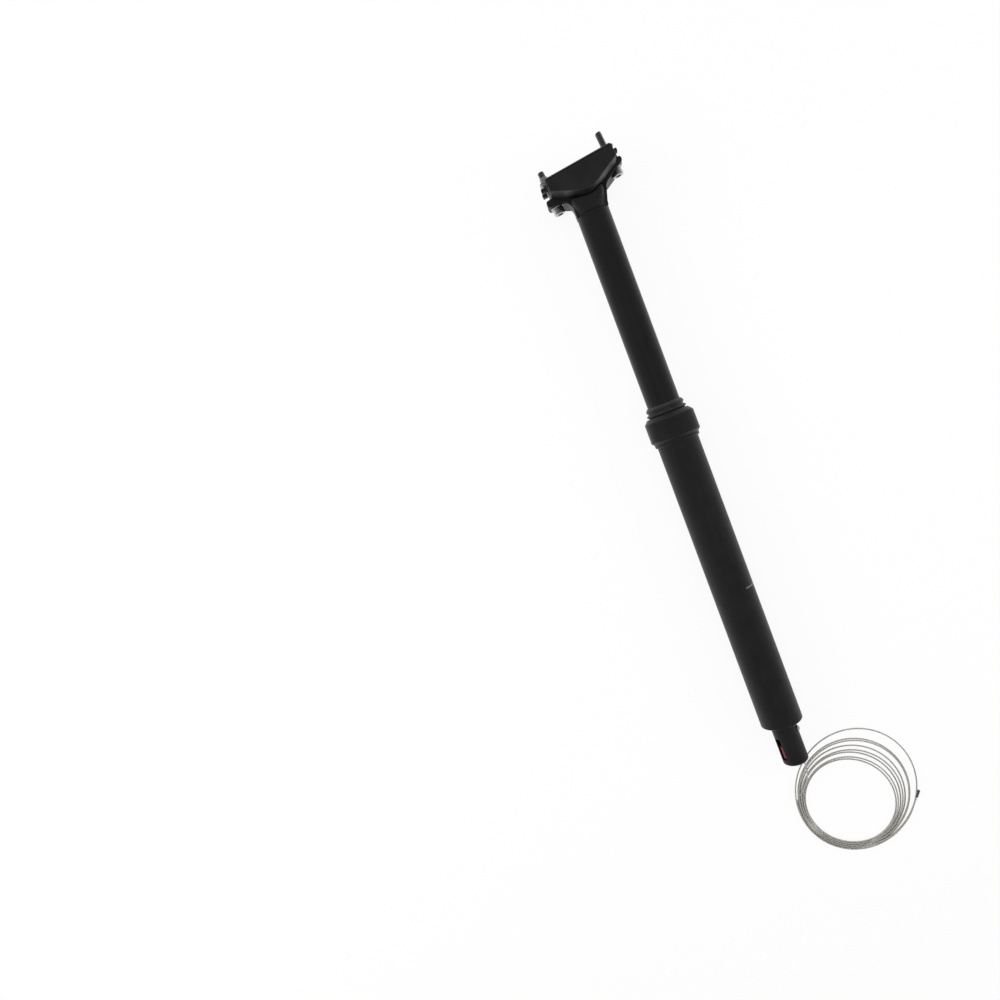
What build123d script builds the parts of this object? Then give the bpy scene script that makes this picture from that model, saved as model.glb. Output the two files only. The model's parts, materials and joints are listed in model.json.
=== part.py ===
from build123d import *
import os
from math import atan2, cos, pi, radians, sin, sqrt, tan

# A dropper seatpost that lies on its side, on the edge of its outer tube and on one cheek of its
# saddle clamp. Sizes are in millimetres. It is drawn on POST, a plane at the foot of the post whose
# x points to the front of the saddle, whose y points to the side and whose z runs up the post.

os.makedirs("parts", exist_ok=True)

# Inner tube, and the outer tube round it, which comes to 31.6 across: the inner tube, the room for the
# bushings and the outer wall
inner_r = 25.0 / 2
inner_wall = 1.8
guide_room = 1.5
outer_wall = 1.8
outer_seen = 229.0
outer_edge = 0.6
thread_depth = 0.5

# Travel, and the edge at the ends of the inner tube
inner_edge = 0.4
travel = 150.0
drop_gap = 2.0
top_out_gap = 0.3

# Base housing at the foot of the post
base_r = 19.2 / 2
base_seen = 33.0
base_edge = 1.4
plug_recess = 1.5
plug_length = 10.0
window_low = 5.0
window_rise = 5.0
window_half_width = 6.3
window_depth = 7.0
cavity_half_width = 3.0
cavity_floor = 4.0
rear_wall = 1.2
ferrule_seat_r = 2.4
ferrule_seat_depth = 2.5
cable_hole_gap = 0.4

# Actuator lever, its pin and the barrel on the end of the cable
pivot_back = 2.0
pivot_height = 17.0
pivot_pin_r = 1.45
pivot_pin_inset = 1.2
pivot_boss_r = 3.2
lever_swing = 24.0
paddle_side_gap = 0.7
paddle_foot_gap = 1.0
paddle_drop = 2.0
paddle_thickness = 5.4
paddle_sink = 0.4
anchor_back = 5.4
anchor_boss_r = 2.0
barrel_r = 1.3
barrel_inset = 0.2
cable_slot_gap = 0.25
nose_r = 1.8
nose_lift = 1.8

# Valve pin and gas spring
valve_pin_r = 1.3
valve_bore_gap = 0.1
valve_flange_r = 2.0
valve_flange_length = 1.0
rod_share = 5 / 11
rod_web = 1.0
gland_length = 9.5
piston_length = 8.0
piston_gap = 0.5
piston_side_gap = 0.1
ring_depth = 1.2
ring_width = 2.4
rod_nose = 4.0
cylinder_wall = 1.5
cap_length = 8.0
stud_length = 12.0
gas_length = 64.0
floating_length = 10.0
seal_wire_r = 0.9
valve_spring_length = 9.0
valve_spring_wall = 0.6

# Clearances between pieces that move on each other, and beside pieces that only stand near
running = 0.05
side_gap = 0.4

# Bushings, keys and bumper. The bushings and keys are shares of the length over which the tubes overlap.
bumper_length = 3.5
bumper_gap = 0.5
bumper_inset = 0.5
bush_inset = 2.0
lower_bush_share = 26 / 79
upper_bush_share = 30 / 79
key_count = 3
key_width = 3.0
key_share = 12 / 79
key_sink = 0.4
groove_depth = 0.8
groove_side_gap = 0.1
groove_top_gap = 0.2

# Collar and wiper
collar_wall = 3.7
collar_height = 23.0
collar_step = 3.6
collar_step_wall = 1.7
collar_edge = 1.0
collar_overlap = 14.0
collar_throat = 0.4
flute_count = 12
flute_r = 7.0
flute_depth = 0.7
flute_margin = 2.8
oring_wire_r = 1.0
oring_gap = 0.1
wiper_height = 8.0
wiper_root = 3.0
wiper_root_wall = 1.9
wiper_waist_wall = 1.2
lip_reach = 2.7
top_lip_reach = 2.1
lip_thickness = 1.1
lip_rise = 0.7
lip_pitch = 3.6
lip_foot = 0.5
wiper_crown = 0.6

# Saddle clamp, drawn about the middle of the rails
neck_height = 11.0
clamp_setback = 1.0
clamp_lean = 5.7
rail_r = 7.0 / 2
rail_spacing = 44.0
cheek_margin = 5.0
ear_side_gap = 1.5
cheek_half_length = 26.5
cheek_edge = 1.2
cheek_corner = 1.4
cradle_r = 15.0
core_half_length = 12.3
flank_slope = 26.0
jaw_gap = 0.6
rail_cover = 2.7
upper_edge = 1.4
fork_under = 3.4
fork_margin = 6.0
fork_slot_lead = 4.5
fork_slot_half_width = 3.3
tilt_back = 4.5
tilt_forward = 10.0

# Head of the inner tube
seat_gap = 0.2
flank_clearance = 1.6
seat_half_width = 14.0
seat_corner = 4.0
ear_half_width = 7.5
ear_margin = 6.5
wall_gap = 1.7
front_ear_bottom = -8.6
rear_ear_bottom = -4.6
front_ear_height = 5.5
rear_ear_height = 5.0
rear_tip_rise = 1.2
rear_root_step = 1.7
rear_root_drop = 12.4
rear_root_r = 9.0
ear_corner = 2.0
front_fillet_r = 9.5
neck_fillet_r = 12.0
inner_corner = 1.0
neck_straight = 2.0
neck_flare = 8.0
spigot_length = 20.0

# Clamp bolts, washers and barrel nuts
bolt_r = 5.0 / 2
bolt_spacing = 50.0
bolt_hole_gap = 0.5
front_bolt_length = 30.0
rear_bolt_length = 35.0
bolt_head_r = 8.5 / 2
bolt_head_height = 5.0
bolt_edge = 0.5
hex_across = 4.0
hex_depth = 2.6
washer_r = 5.0
washer_height = 1.2
spot_gap = 0.4
nut_r = 6.0
nut_half_length = 11.0
nut_edge = 0.8
nut_gap = 0.5

# Lock screw that holds the gas spring's rod in the base
lock_rise = 3.0
lock_turn = 158.0
lock_shank_r = 1.5
lock_head_r = 2.3
lock_head_height = 1.6
lock_head_sink = 0.5
lock_edge = 0.4
lock_hex_across = 2.0
lock_hex_depth = 0.9

# Inner cable and its end crimp. The route of its run is given from the foot of the post, along the
# ground and up from it.
cable_r = 1.1 / 2
loop_gap = 0.5
fillet_share = 0.45
cable_route = (
    (-13.0, -4.9, 12.0),
    (-21.0, -2.4, 7.6),
    (-29.0, 2.2, 3.2),
)

# Loops of the cable's coil: their middle, the direction in which they fan out, and how far each half
# turn reaches before the middle, where the loops lie close, and behind it, where they spread
coil_back = 42.7
coil_side = 39.7
fan_angle = -40.4
close_out = 46.5
close_pitch = 1.6
spread_out = 39.0
spread_pitch = 5.8
loops_in = 4
spread_in = 24.0
spread_step = 5.0
spread_growth = 1.0
close_in = 40.0
loops_out = 4
last_close = 47.0
last_r = 48.2
last_turn = 95.0
tail_length = 8.0
start_turn = 40.0
start_r = 43.5
lead_in = 8.0
crimp_r = 1.1
crimp_length = 6.0
crimp_edge = 0.3

# One overrun serves every cut that goes past a face
overrun = 4.0

# Radii that follow from the walls
bore_r = inner_r + guide_room
outer_r = bore_r + outer_wall
thread_r = outer_r - thread_depth
inner_bore_r = inner_r - inner_wall
cylinder_r = inner_bore_r - side_gap
cylinder_bore_r = cylinder_r - cylinder_wall
rod_r = cylinder_bore_r * rod_share
piston_r = cylinder_bore_r - piston_side_gap
key_outer_r = bore_r + groove_depth - groove_top_gap
throat_r = inner_r + collar_throat
collar_r = outer_r + collar_wall
collar_step_r = outer_r + collar_step_wall
bumper_r = inner_r - bumper_inset

# Sizes of the clamp, the head and the lever that follow from others
cheek_half_width = rail_spacing / 2 + cheek_margin
cheek_inner = ear_half_width + ear_side_gap
upper_height = rail_r + rail_cover
fork_reach = bolt_spacing / 2 + fork_margin
fork_slot_inner = bolt_spacing / 2 - fork_slot_lead
ear_reach = bolt_spacing / 2 + ear_margin
wall_forward = core_half_length + wall_gap
rear_root_back = inner_r + rear_root_step
clamp_lift = neck_height + cradle_r
lever_half_width = cavity_half_width - side_gap
paddle_half_width = window_half_width - paddle_side_gap
paddle_low = window_low + paddle_foot_gap
paddle_high = pivot_height - paddle_drop
cable_hole_r = cable_r + cable_hole_gap
cable_slot_half_width = cable_r + cable_slot_gap

# Heights up the post, from the foot of the base
window_high = pivot_height + window_rise
tube_low = base_seen
plug_low = tube_low + plug_recess
plug_top = tube_low + plug_length
collar_low = tube_low + outer_seen
collar_top = collar_low + collar_height
outer_top = collar_low + collar_overlap
wiper_top = collar_top + wiper_height
head_low = wiper_top + travel + drop_gap
clamp_height = head_low + clamp_lift
bumper_top = plug_top + bumper_length
inner_low = bumper_top + bumper_gap + travel
overlap_length = outer_top - inner_low
lower_bush_length = overlap_length * lower_bush_share
upper_bush_length = overlap_length * upper_bush_share
key_length = overlap_length * key_share
upper_bush_top = outer_top - bush_inset
upper_bush_low = upper_bush_top - upper_bush_length
key_low = upper_bush_low - top_out_gap - key_length
rod_low = window_high + rod_web
lock_height = rod_low + lock_rise
gland_top = inner_low + gland_length
piston_low = gland_top + piston_gap
piston_top = piston_low + piston_length
rod_top = piston_top + rod_nose
spigot_low = head_low - spigot_length
cylinder_top = spigot_low - side_gap
cap_low = cylinder_top - cap_length
floating_low = cap_low - gas_length
nose_top = pivot_height + nose_lift + nose_r
valve_spring_top = rod_top - rod_web
valve_spring_low = valve_spring_top - valve_spring_length

# The post leans up to its head by the angle at which the tube's edge and the lower cheek both touch
# the ground. The origin is on the ground, under the middle of the post.
cheek_touch = clamp_height - cradle_r + cheek_edge
tube_touch = tube_low + outer_edge
rest_lean = atan2(cheek_half_width - outer_r, cheek_touch - tube_touch)
axis_height = outer_r * cos(rest_lean) - tube_touch * sin(rest_lean)
clamp_sin = sin(radians(clamp_lean))
clamp_cos = cos(radians(clamp_lean))
rear_bolt_tip = rear_ear_bottom - washer_height + rear_bolt_length
reach = clamp_height + bolt_spacing / 2 * clamp_sin + rear_bolt_tip * clamp_cos
foot_x = -reach / 2 * cos(rest_lean)

POST = Plane(
    origin=(foot_x, 0, axis_height),
    x_dir=(0, 1, 0),
    z_dir=(cos(rest_lean), 0, sin(rest_lean)),
)
POST_AXIS = Axis(POST.origin, POST.z_dir)
SIDEWAYS = Axis(POST.origin, POST.y_dir)
# The post seen from the side: x to the front of the saddle, y up the post.
SIDE = Plane(POST.origin, x_dir=POST.x_dir, z_dir=-POST.y_dir)
# The clamp seen from the side, about the middle of the rails, nose down by the clamp's lean.
CLAMP = Plane(
    SIDE.from_local_coords((-clamp_setback, clamp_height, 0)),
    x_dir=POST.x_dir * clamp_cos - POST.z_dir * clamp_sin,
    z_dir=-POST.y_dir,
)
CLAMP_TOP = Plane(CLAMP.origin, x_dir=CLAMP.x_dir, z_dir=CLAMP.y_dir)
CLAMP_UP = Axis(CLAMP.origin, CLAMP.y_dir)


def on_side(forward, up):
    """A point of the clamp's side view, as a point of the post's side view."""
    x = -clamp_setback + forward * clamp_cos + up * clamp_sin
    y = clamp_height - forward * clamp_sin + up * clamp_cos
    return (x, y)


def side_plane(forward, up, plane=SIDE):
    """A side view plane moved to one of its own points."""
    return Plane(plane.from_local_coords((forward, up, 0)), x_dir=plane.x_dir, z_dir=plane.z_dir)


def ring_section(inner, outer, low, high, edge=0):
    """Half section of a ring round the post, its two outer edges broken where an edge is given."""
    if edge:
        Polygon(
            (inner, low),
            (outer - edge, low),
            (outer, low + edge),
            (outer, high - edge),
            (outer - edge, high),
            (inner, high),
        )
    else:
        Polygon((inner, low), (outer, low), (outer, high), (inner, high))


def export(part, name):
    """Label a finished piece and write it."""
    part.label = name
    export_step(part, f"parts/{name}.step")


# Outer tube, with the grooves that the keys run in
with BuildPart() as outer_tube:
    with BuildSketch(SIDE):
        Polygon(
            (bore_r, tube_low),
            (outer_r - outer_edge, tube_low),
            (outer_r, tube_low + outer_edge),
            (outer_r, collar_low),
            (thread_r, collar_low),
            (thread_r, outer_top),
            (bore_r, outer_top),
        )
    revolve(axis=POST_AXIS)
    with BuildSketch(POST.offset(plug_top)):
        with PolarLocations(bore_r, key_count):
            Rectangle(groove_depth * 2, key_width + groove_side_gap * 2)
    extrude(amount=upper_bush_low - plug_top, mode=Mode.SUBTRACT)
export(outer_tube.part, "outer_tube")

# Collar, screwed over the top of the outer tube, with shallow flutes to grip
with BuildPart() as collar:
    wiper_root_r = inner_r + wiper_root_wall
    oring_height = (outer_top + collar_top - wiper_root) / 2
    oring_ring_r = inner_r + oring_gap + oring_wire_r
    with BuildSketch(SIDE):
        with BuildLine():
            Polyline(
                (thread_r, collar_low),
                (collar_step_r - collar_edge, collar_low),
                (collar_step_r, collar_low + collar_edge),
                (collar_step_r, collar_low + collar_step),
                (collar_r - collar_edge, collar_low + collar_step),
                (collar_r, collar_low + collar_step + collar_edge),
                (collar_r, collar_top - collar_edge * 2),
                (collar_r - collar_edge * 2, collar_top),
                (wiper_root_r, collar_top),
                (wiper_root_r, collar_top - wiper_root),
                (throat_r, collar_top - wiper_root),
                (throat_r, outer_top),
                (thread_r, outer_top),
                close=True,
            )
        make_face()
        with Locations((oring_ring_r, oring_height)):
            Rectangle(oring_wire_r * 2 + oring_gap, oring_wire_r * 2 + oring_gap, mode=Mode.SUBTRACT)
    revolve(axis=POST_AXIS)
    with BuildSketch(POST.offset(collar_low + collar_step + flute_margin)):
        with PolarLocations(collar_r + flute_r - flute_depth, flute_count):
            Circle(flute_r)
    extrude(amount=collar_height - collar_step - flute_margin * 2, mode=Mode.SUBTRACT)
export(collar.part, "collar")

# O-ring inside the collar's throat
with BuildPart() as collar_oring:
    with BuildSketch(SIDE):
        with Locations((oring_ring_r, oring_height)):
            Circle(oring_wire_r)
    revolve(axis=POST_AXIS)
export(collar_oring.part, "collar_oring")

# Wiper seal, with a root in the collar and two lips round the inner tube
with BuildPart() as wiper_seal:
    wiper_r = inner_r + running
    wiper_waist_r = inner_r + wiper_waist_wall
    lip_r = inner_r + lip_reach
    top_lip_r = inner_r + top_lip_reach
    low_lip = collar_top + lip_foot
    high_lip = low_lip + lip_pitch
    with BuildSketch(SIDE):
        with BuildLine():
            Polyline(
                (wiper_r, collar_top - wiper_root),
                (wiper_root_r, collar_top - wiper_root),
                (wiper_root_r, collar_top),
                (wiper_waist_r, low_lip),
                (lip_r, low_lip + lip_rise),
                (lip_r, low_lip + lip_rise + lip_thickness),
                (wiper_waist_r, low_lip + lip_rise * 2 + lip_thickness),
                (wiper_waist_r, high_lip),
                (top_lip_r, high_lip + lip_rise),
                (top_lip_r, high_lip + lip_rise + lip_thickness),
                (wiper_r + wiper_crown, wiper_top),
                (wiper_r, wiper_top),
                close=True,
            )
        make_face()
    revolve(axis=POST_AXIS)
export(wiper_seal.part, "wiper_seal")

# Upper bushing, in the top of the outer tube
with BuildPart() as upper_bushing:
    with BuildSketch(SIDE):
        ring_section(inner_r + running, bore_r, upper_bush_low, upper_bush_top)
    revolve(axis=POST_AXIS)
export(upper_bushing.part, "upper_bushing")

# Inner tube, with a seat for each key and a broken edge under the head
with BuildPart() as inner_tube:
    with BuildSketch(SIDE):
        ring_section(inner_bore_r, inner_r, inner_low, head_low, inner_edge)
    revolve(axis=POST_AXIS)
    with BuildSketch(POST.offset(key_low)):
        with PolarLocations(inner_r, key_count):
            Rectangle(key_sink * 2, key_width)
    extrude(amount=key_length, mode=Mode.SUBTRACT)
export(inner_tube.part, "inner_tube")

# Lower bushing, round the foot of the inner tube
with BuildPart() as lower_bushing:
    with BuildSketch(SIDE):
        ring_section(
            inner_r, bore_r - running, inner_low + bush_inset, inner_low + bush_inset + lower_bush_length
        )
    revolve(axis=POST_AXIS)
export(lower_bushing.part, "lower_bushing")

# Keys that stop the inner tube from turning
with BuildPart() as anti_rotation_keys:
    key_inner_r = inner_r - key_sink
    with BuildSketch(POST.offset(key_low)):
        with PolarLocations((key_inner_r + key_outer_r) / 2, key_count):
            Rectangle(key_outer_r - key_inner_r, key_width)
    extrude(amount=key_length)
export(anti_rotation_keys.part, "anti_rotation_keys")

# Base housing: a round foot, a plug in the tube, a chamber and window for the lever, a seat for the
# cable housing's ferrule, and a bore for the gas spring's rod
with BuildPart() as base_housing:
    with BuildSketch(SIDE):
        with BuildLine():
            Polyline(
                (0, 0),
                (base_r - base_edge, 0),
                (base_r, base_edge),
                (base_r, plug_low),
                (bore_r, plug_low),
                (bore_r, plug_top),
                (0, plug_top),
                close=True,
            )
        make_face()
    revolve(axis=POST_AXIS)
    with BuildSketch(POST.offset(rod_low)):
        Circle(rod_r)
    extrude(amount=plug_top - rod_low, mode=Mode.SUBTRACT)
    with BuildSketch(POST.offset(window_low)):
        Circle(valve_pin_r + valve_bore_gap)
    extrude(amount=rod_low - window_low, mode=Mode.SUBTRACT)
    cavity_length = base_r * 2 - rear_wall - window_depth / 2
    with BuildSketch(POST.offset(cavity_floor)):
        with Locations((rear_wall - base_r + cavity_length / 2, 0)):
            Rectangle(cavity_length, cavity_half_width * 2)
    extrude(amount=window_high - cavity_floor, mode=Mode.SUBTRACT)
    with BuildSketch(POST.offset(window_low)):
        with Locations((base_r - window_depth / 2 + overrun / 2, 0)):
            Rectangle(window_depth + overrun, window_half_width * 2)
    extrude(amount=window_high - window_low, mode=Mode.SUBTRACT)
    with BuildSketch(POST):
        with Locations((-anchor_back, 0)):
            Circle(ferrule_seat_r)
    extrude(amount=ferrule_seat_depth, mode=Mode.SUBTRACT)
    with BuildSketch(POST):
        with Locations((-anchor_back, 0)):
            Circle(cable_hole_r)
    extrude(amount=cavity_floor, mode=Mode.SUBTRACT)
    with BuildSketch(side_plane(-pivot_back, pivot_height)):
        Circle(pivot_pin_r)
    extrude(amount=base_r, both=True, mode=Mode.SUBTRACT)
    lock_out = POST.x_dir * cos(radians(lock_turn)) + POST.y_dir * sin(radians(lock_turn))
    lock_foot = POST.origin + POST.z_dir * lock_height
    with BuildSketch(Plane(lock_foot, x_dir=POST.z_dir, z_dir=lock_out)):
        Circle(lock_shank_r)
    extrude(amount=base_r, mode=Mode.SUBTRACT)
    with BuildSketch(Plane(lock_foot + lock_out * (base_r - lock_head_sink), POST.z_dir, lock_out)):
        Circle(lock_head_r)
    extrude(amount=overrun, mode=Mode.SUBTRACT)
export(base_housing.part, "base_housing")

# Lock screw: a button head in the base's side, its tip against the rod
with BuildPart() as base_lock_screw:
    with BuildSketch(Plane(lock_foot + lock_out * rod_r, POST.z_dir, lock_out)):
        Circle(lock_shank_r)
    extrude(amount=base_r - lock_head_sink - rod_r)
    with BuildSketch(Plane(lock_foot + lock_out * (base_r - lock_head_sink), POST.z_dir, lock_out)):
        Circle(lock_head_r)
    extrude(amount=lock_head_height)
    lock_top = faces().sort_by(Axis(lock_foot, lock_out))[-1]
    chamfer(lock_top.edges(), lock_edge)
    with BuildSketch(faces().sort_by(Axis(lock_foot, lock_out))[-1]):
        RegularPolygon(lock_hex_across / 2, 6, major_radius=False)
    extrude(amount=-lock_hex_depth, mode=Mode.SUBTRACT)
export(base_lock_screw.part, "base_lock_screw")

# Actuator lever: a boss on the pin, a lug for the cable's barrel, a nose under the valve pin and a
# paddle in the window
with BuildPart() as actuator_lever:
    paddle_r = base_r - paddle_sink
    paddle_middle = (paddle_low + paddle_high) / 2
    with BuildSketch(SIDE):
        with Locations((-pivot_back, pivot_height)):
            Circle(pivot_boss_r)
        with Locations((-anchor_back, pivot_height)):
            Circle(anchor_boss_r)
        with Locations((0, pivot_height + nose_lift)):
            Circle(nose_r)
        make_hull()
    extrude(amount=lever_half_width, both=True)
    with BuildSketch(SIDE):
        with BuildLine():
            Polyline(
                (-pivot_back, pivot_height + pivot_boss_r),
                (nose_r, pivot_height + nose_lift),
                (paddle_r - paddle_thickness / 2, paddle_high),
                (paddle_r - paddle_thickness / 2, paddle_middle),
                (paddle_r - paddle_thickness, paddle_middle),
                (-pivot_back, pivot_height - pivot_boss_r),
                close=True,
            )
        make_face()
    extrude(amount=lever_half_width, both=True)
    with BuildSketch(POST.offset(paddle_low)):
        Circle(paddle_r)
        with Locations((paddle_r - paddle_thickness / 2, 0)):
            Rectangle(paddle_thickness, paddle_half_width * 2, mode=Mode.INTERSECT)
    extrude(amount=paddle_high - paddle_low)
    with BuildSketch(side_plane(-pivot_back, pivot_height)):
        Circle(pivot_pin_r + running)
    extrude(amount=base_r, both=True, mode=Mode.SUBTRACT)
    with BuildSketch(side_plane(-anchor_back, pivot_height)):
        Circle(barrel_r)
    extrude(amount=base_r, both=True, mode=Mode.SUBTRACT)
    with BuildSketch(POST.offset(pivot_height - anchor_boss_r * 2)):
        with Locations((-anchor_back - anchor_boss_r / 2, 0)):
            Rectangle(anchor_boss_r + cable_slot_half_width * 2, cable_slot_half_width * 2)
    extrude(amount=anchor_boss_r * 2, mode=Mode.SUBTRACT)
export(actuator_lever.part, "actuator_lever")

# Pin that the lever turns on
with BuildPart() as lever_pivot_pin:
    with BuildSketch(side_plane(-pivot_back, pivot_height)):
        Circle(pivot_pin_r)
    extrude(amount=base_r - pivot_pin_inset, both=True)
export(lever_pivot_pin.part, "lever_pivot_pin")

# Barrel on the end of the cable, across the lever's lug
with BuildPart() as cable_barrel:
    with BuildSketch(side_plane(-anchor_back, pivot_height)):
        Circle(barrel_r)
    extrude(amount=lever_half_width - barrel_inset, both=True)
export(cable_barrel.part, "cable_barrel")

# Valve pin, from the lever's nose up through the rod, with a flange under its spring
with BuildPart() as valve_pin:
    with BuildSketch(POST.offset(nose_top + running)):
        Circle(valve_pin_r)
    extrude(amount=valve_spring_low - nose_top - running)
    with BuildSketch(POST.offset(valve_spring_low - valve_flange_length)):
        Circle(valve_flange_r)
    extrude(amount=valve_flange_length)
export(valve_pin.part, "valve_pin")

# Valve spring, between the pin's flange and the top of the rod's bore
with BuildPart() as valve_spring:
    with BuildSketch(POST.offset(valve_spring_low)):
        Circle(valve_flange_r)
        Circle(valve_flange_r - valve_spring_wall, mode=Mode.SUBTRACT)
    extrude(amount=valve_spring_length)
export(valve_spring.part, "valve_spring")

# Rod of the gas spring, held in the base
with BuildPart() as gas_spring_rod:
    valve_chamber_low = valve_spring_low - valve_flange_length - side_gap
    with BuildSketch(SIDE):
        with BuildLine():
            Polyline(
                (valve_pin_r + valve_bore_gap, rod_low),
                (rod_r, rod_low),
                (rod_r, rod_top),
                (0, rod_top),
                (0, valve_spring_top),
                (valve_flange_r + valve_bore_gap, valve_spring_top),
                (valve_flange_r + valve_bore_gap, valve_chamber_low),
                (valve_pin_r + valve_bore_gap, valve_chamber_low),
                close=True,
            )
        make_face()
    revolve(axis=POST_AXIS)
export(gas_spring_rod.part, "gas_spring_rod")

# Piston on the rod, and its ring
ring_low = (piston_low + piston_top - ring_width) / 2
with BuildPart() as gas_spring_piston:
    with BuildSketch(SIDE):
        ring_section(rod_r, piston_r, piston_low, piston_top)
        with Locations((piston_r - ring_depth / 2, ring_low + ring_width / 2)):
            Rectangle(ring_depth, ring_width, mode=Mode.SUBTRACT)
    revolve(axis=POST_AXIS)
export(gas_spring_piston.part, "gas_spring_piston")

with BuildPart() as piston_ring:
    with BuildSketch(SIDE):
        ring_section(piston_r - ring_depth, cylinder_bore_r - running, ring_low, ring_low + ring_width)
    revolve(axis=POST_AXIS)
export(piston_ring.part, "piston_ring")

# Cylinder of the gas spring, which rides in the inner tube
with BuildPart() as gas_spring_cylinder:
    with BuildSketch(SIDE):
        ring_section(cylinder_bore_r, cylinder_r, inner_low, cylinder_top)
    revolve(axis=POST_AXIS)
export(gas_spring_cylinder.part, "gas_spring_cylinder")

# Gland that guides the rod, and its seal
seal_ring_r = rod_r + oring_gap + seal_wire_r
seal_height = inner_low + gland_length / 2
with BuildPart() as rod_gland:
    with BuildSketch(SIDE):
        ring_section(rod_r + running, cylinder_bore_r, inner_low, gland_top)
        with Locations((seal_ring_r, seal_height)):
            Rectangle(seal_wire_r * 2 + oring_gap, seal_wire_r * 2 + oring_gap, mode=Mode.SUBTRACT)
    revolve(axis=POST_AXIS)
export(rod_gland.part, "rod_gland")

with BuildPart() as gland_seal:
    with BuildSketch(SIDE):
        with Locations((seal_ring_r, seal_height)):
            Circle(seal_wire_r)
    revolve(axis=POST_AXIS)
export(gland_seal.part, "gland_seal")

# Floating piston between oil and gas, and its ring
floating_ring_low = floating_low + (floating_length - ring_width) / 2
with BuildPart() as floating_piston:
    with BuildSketch(SIDE):
        ring_section(0, piston_r, floating_low, floating_low + floating_length)
        with Locations((piston_r - ring_depth / 2, floating_ring_low + ring_width / 2)):
            Rectangle(ring_depth, ring_width, mode=Mode.SUBTRACT)
    revolve(axis=POST_AXIS)
export(floating_piston.part, "floating_piston")

with BuildPart() as floating_piston_ring:
    with BuildSketch(SIDE):
        ring_section(
            piston_r - ring_depth,
            cylinder_bore_r - running,
            floating_ring_low,
            floating_ring_low + ring_width,
        )
    revolve(axis=POST_AXIS)
export(floating_piston_ring.part, "floating_piston_ring")

# Cap of the cylinder, with a stud that screws into the head's spigot
with BuildPart() as cylinder_cap:
    with BuildSketch(POST.offset(cap_low)):
        Circle(cylinder_bore_r)
    extrude(amount=cap_length)
    with BuildSketch(POST.offset(cylinder_top)):
        Circle(rod_r)
    extrude(amount=side_gap + stud_length)
export(cylinder_cap.part, "cylinder_cap")

# Bumper on the base, under the inner tube
with BuildPart() as bottom_bumper:
    with BuildSketch(SIDE):
        ring_section(rod_r + side_gap, bumper_r, plug_top, bumper_top)
    revolve(axis=POST_AXIS)
export(bottom_bumper.part, "bottom_bumper")

# The curved seat of the head, and the slopes at both sides of it that let the cradle tip
seat_r = cradle_r + seat_gap
front_slope = radians(flank_slope - tilt_forward - flank_clearance)
rear_slope = radians(flank_slope - tilt_back - flank_clearance)


def flank(forward, radius, slope):
    """Height of a slope that touches a circle about the rails, at a distance from its middle."""
    return abs(forward) * tan(slope) - radius / cos(slope)


front_tangent = (seat_r * sin(front_slope), -seat_r * cos(front_slope))
rear_tangent = (-seat_r * sin(rear_slope), -seat_r * cos(rear_slope))
wall_foot = -sqrt(seat_r**2 - wall_forward**2)
front_ear_top = front_ear_bottom + front_ear_height
rear_ear_top = rear_ear_bottom + rear_ear_height
front_root_forward = (inner_r + clamp_setback - front_ear_bottom * clamp_sin) / clamp_cos

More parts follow.
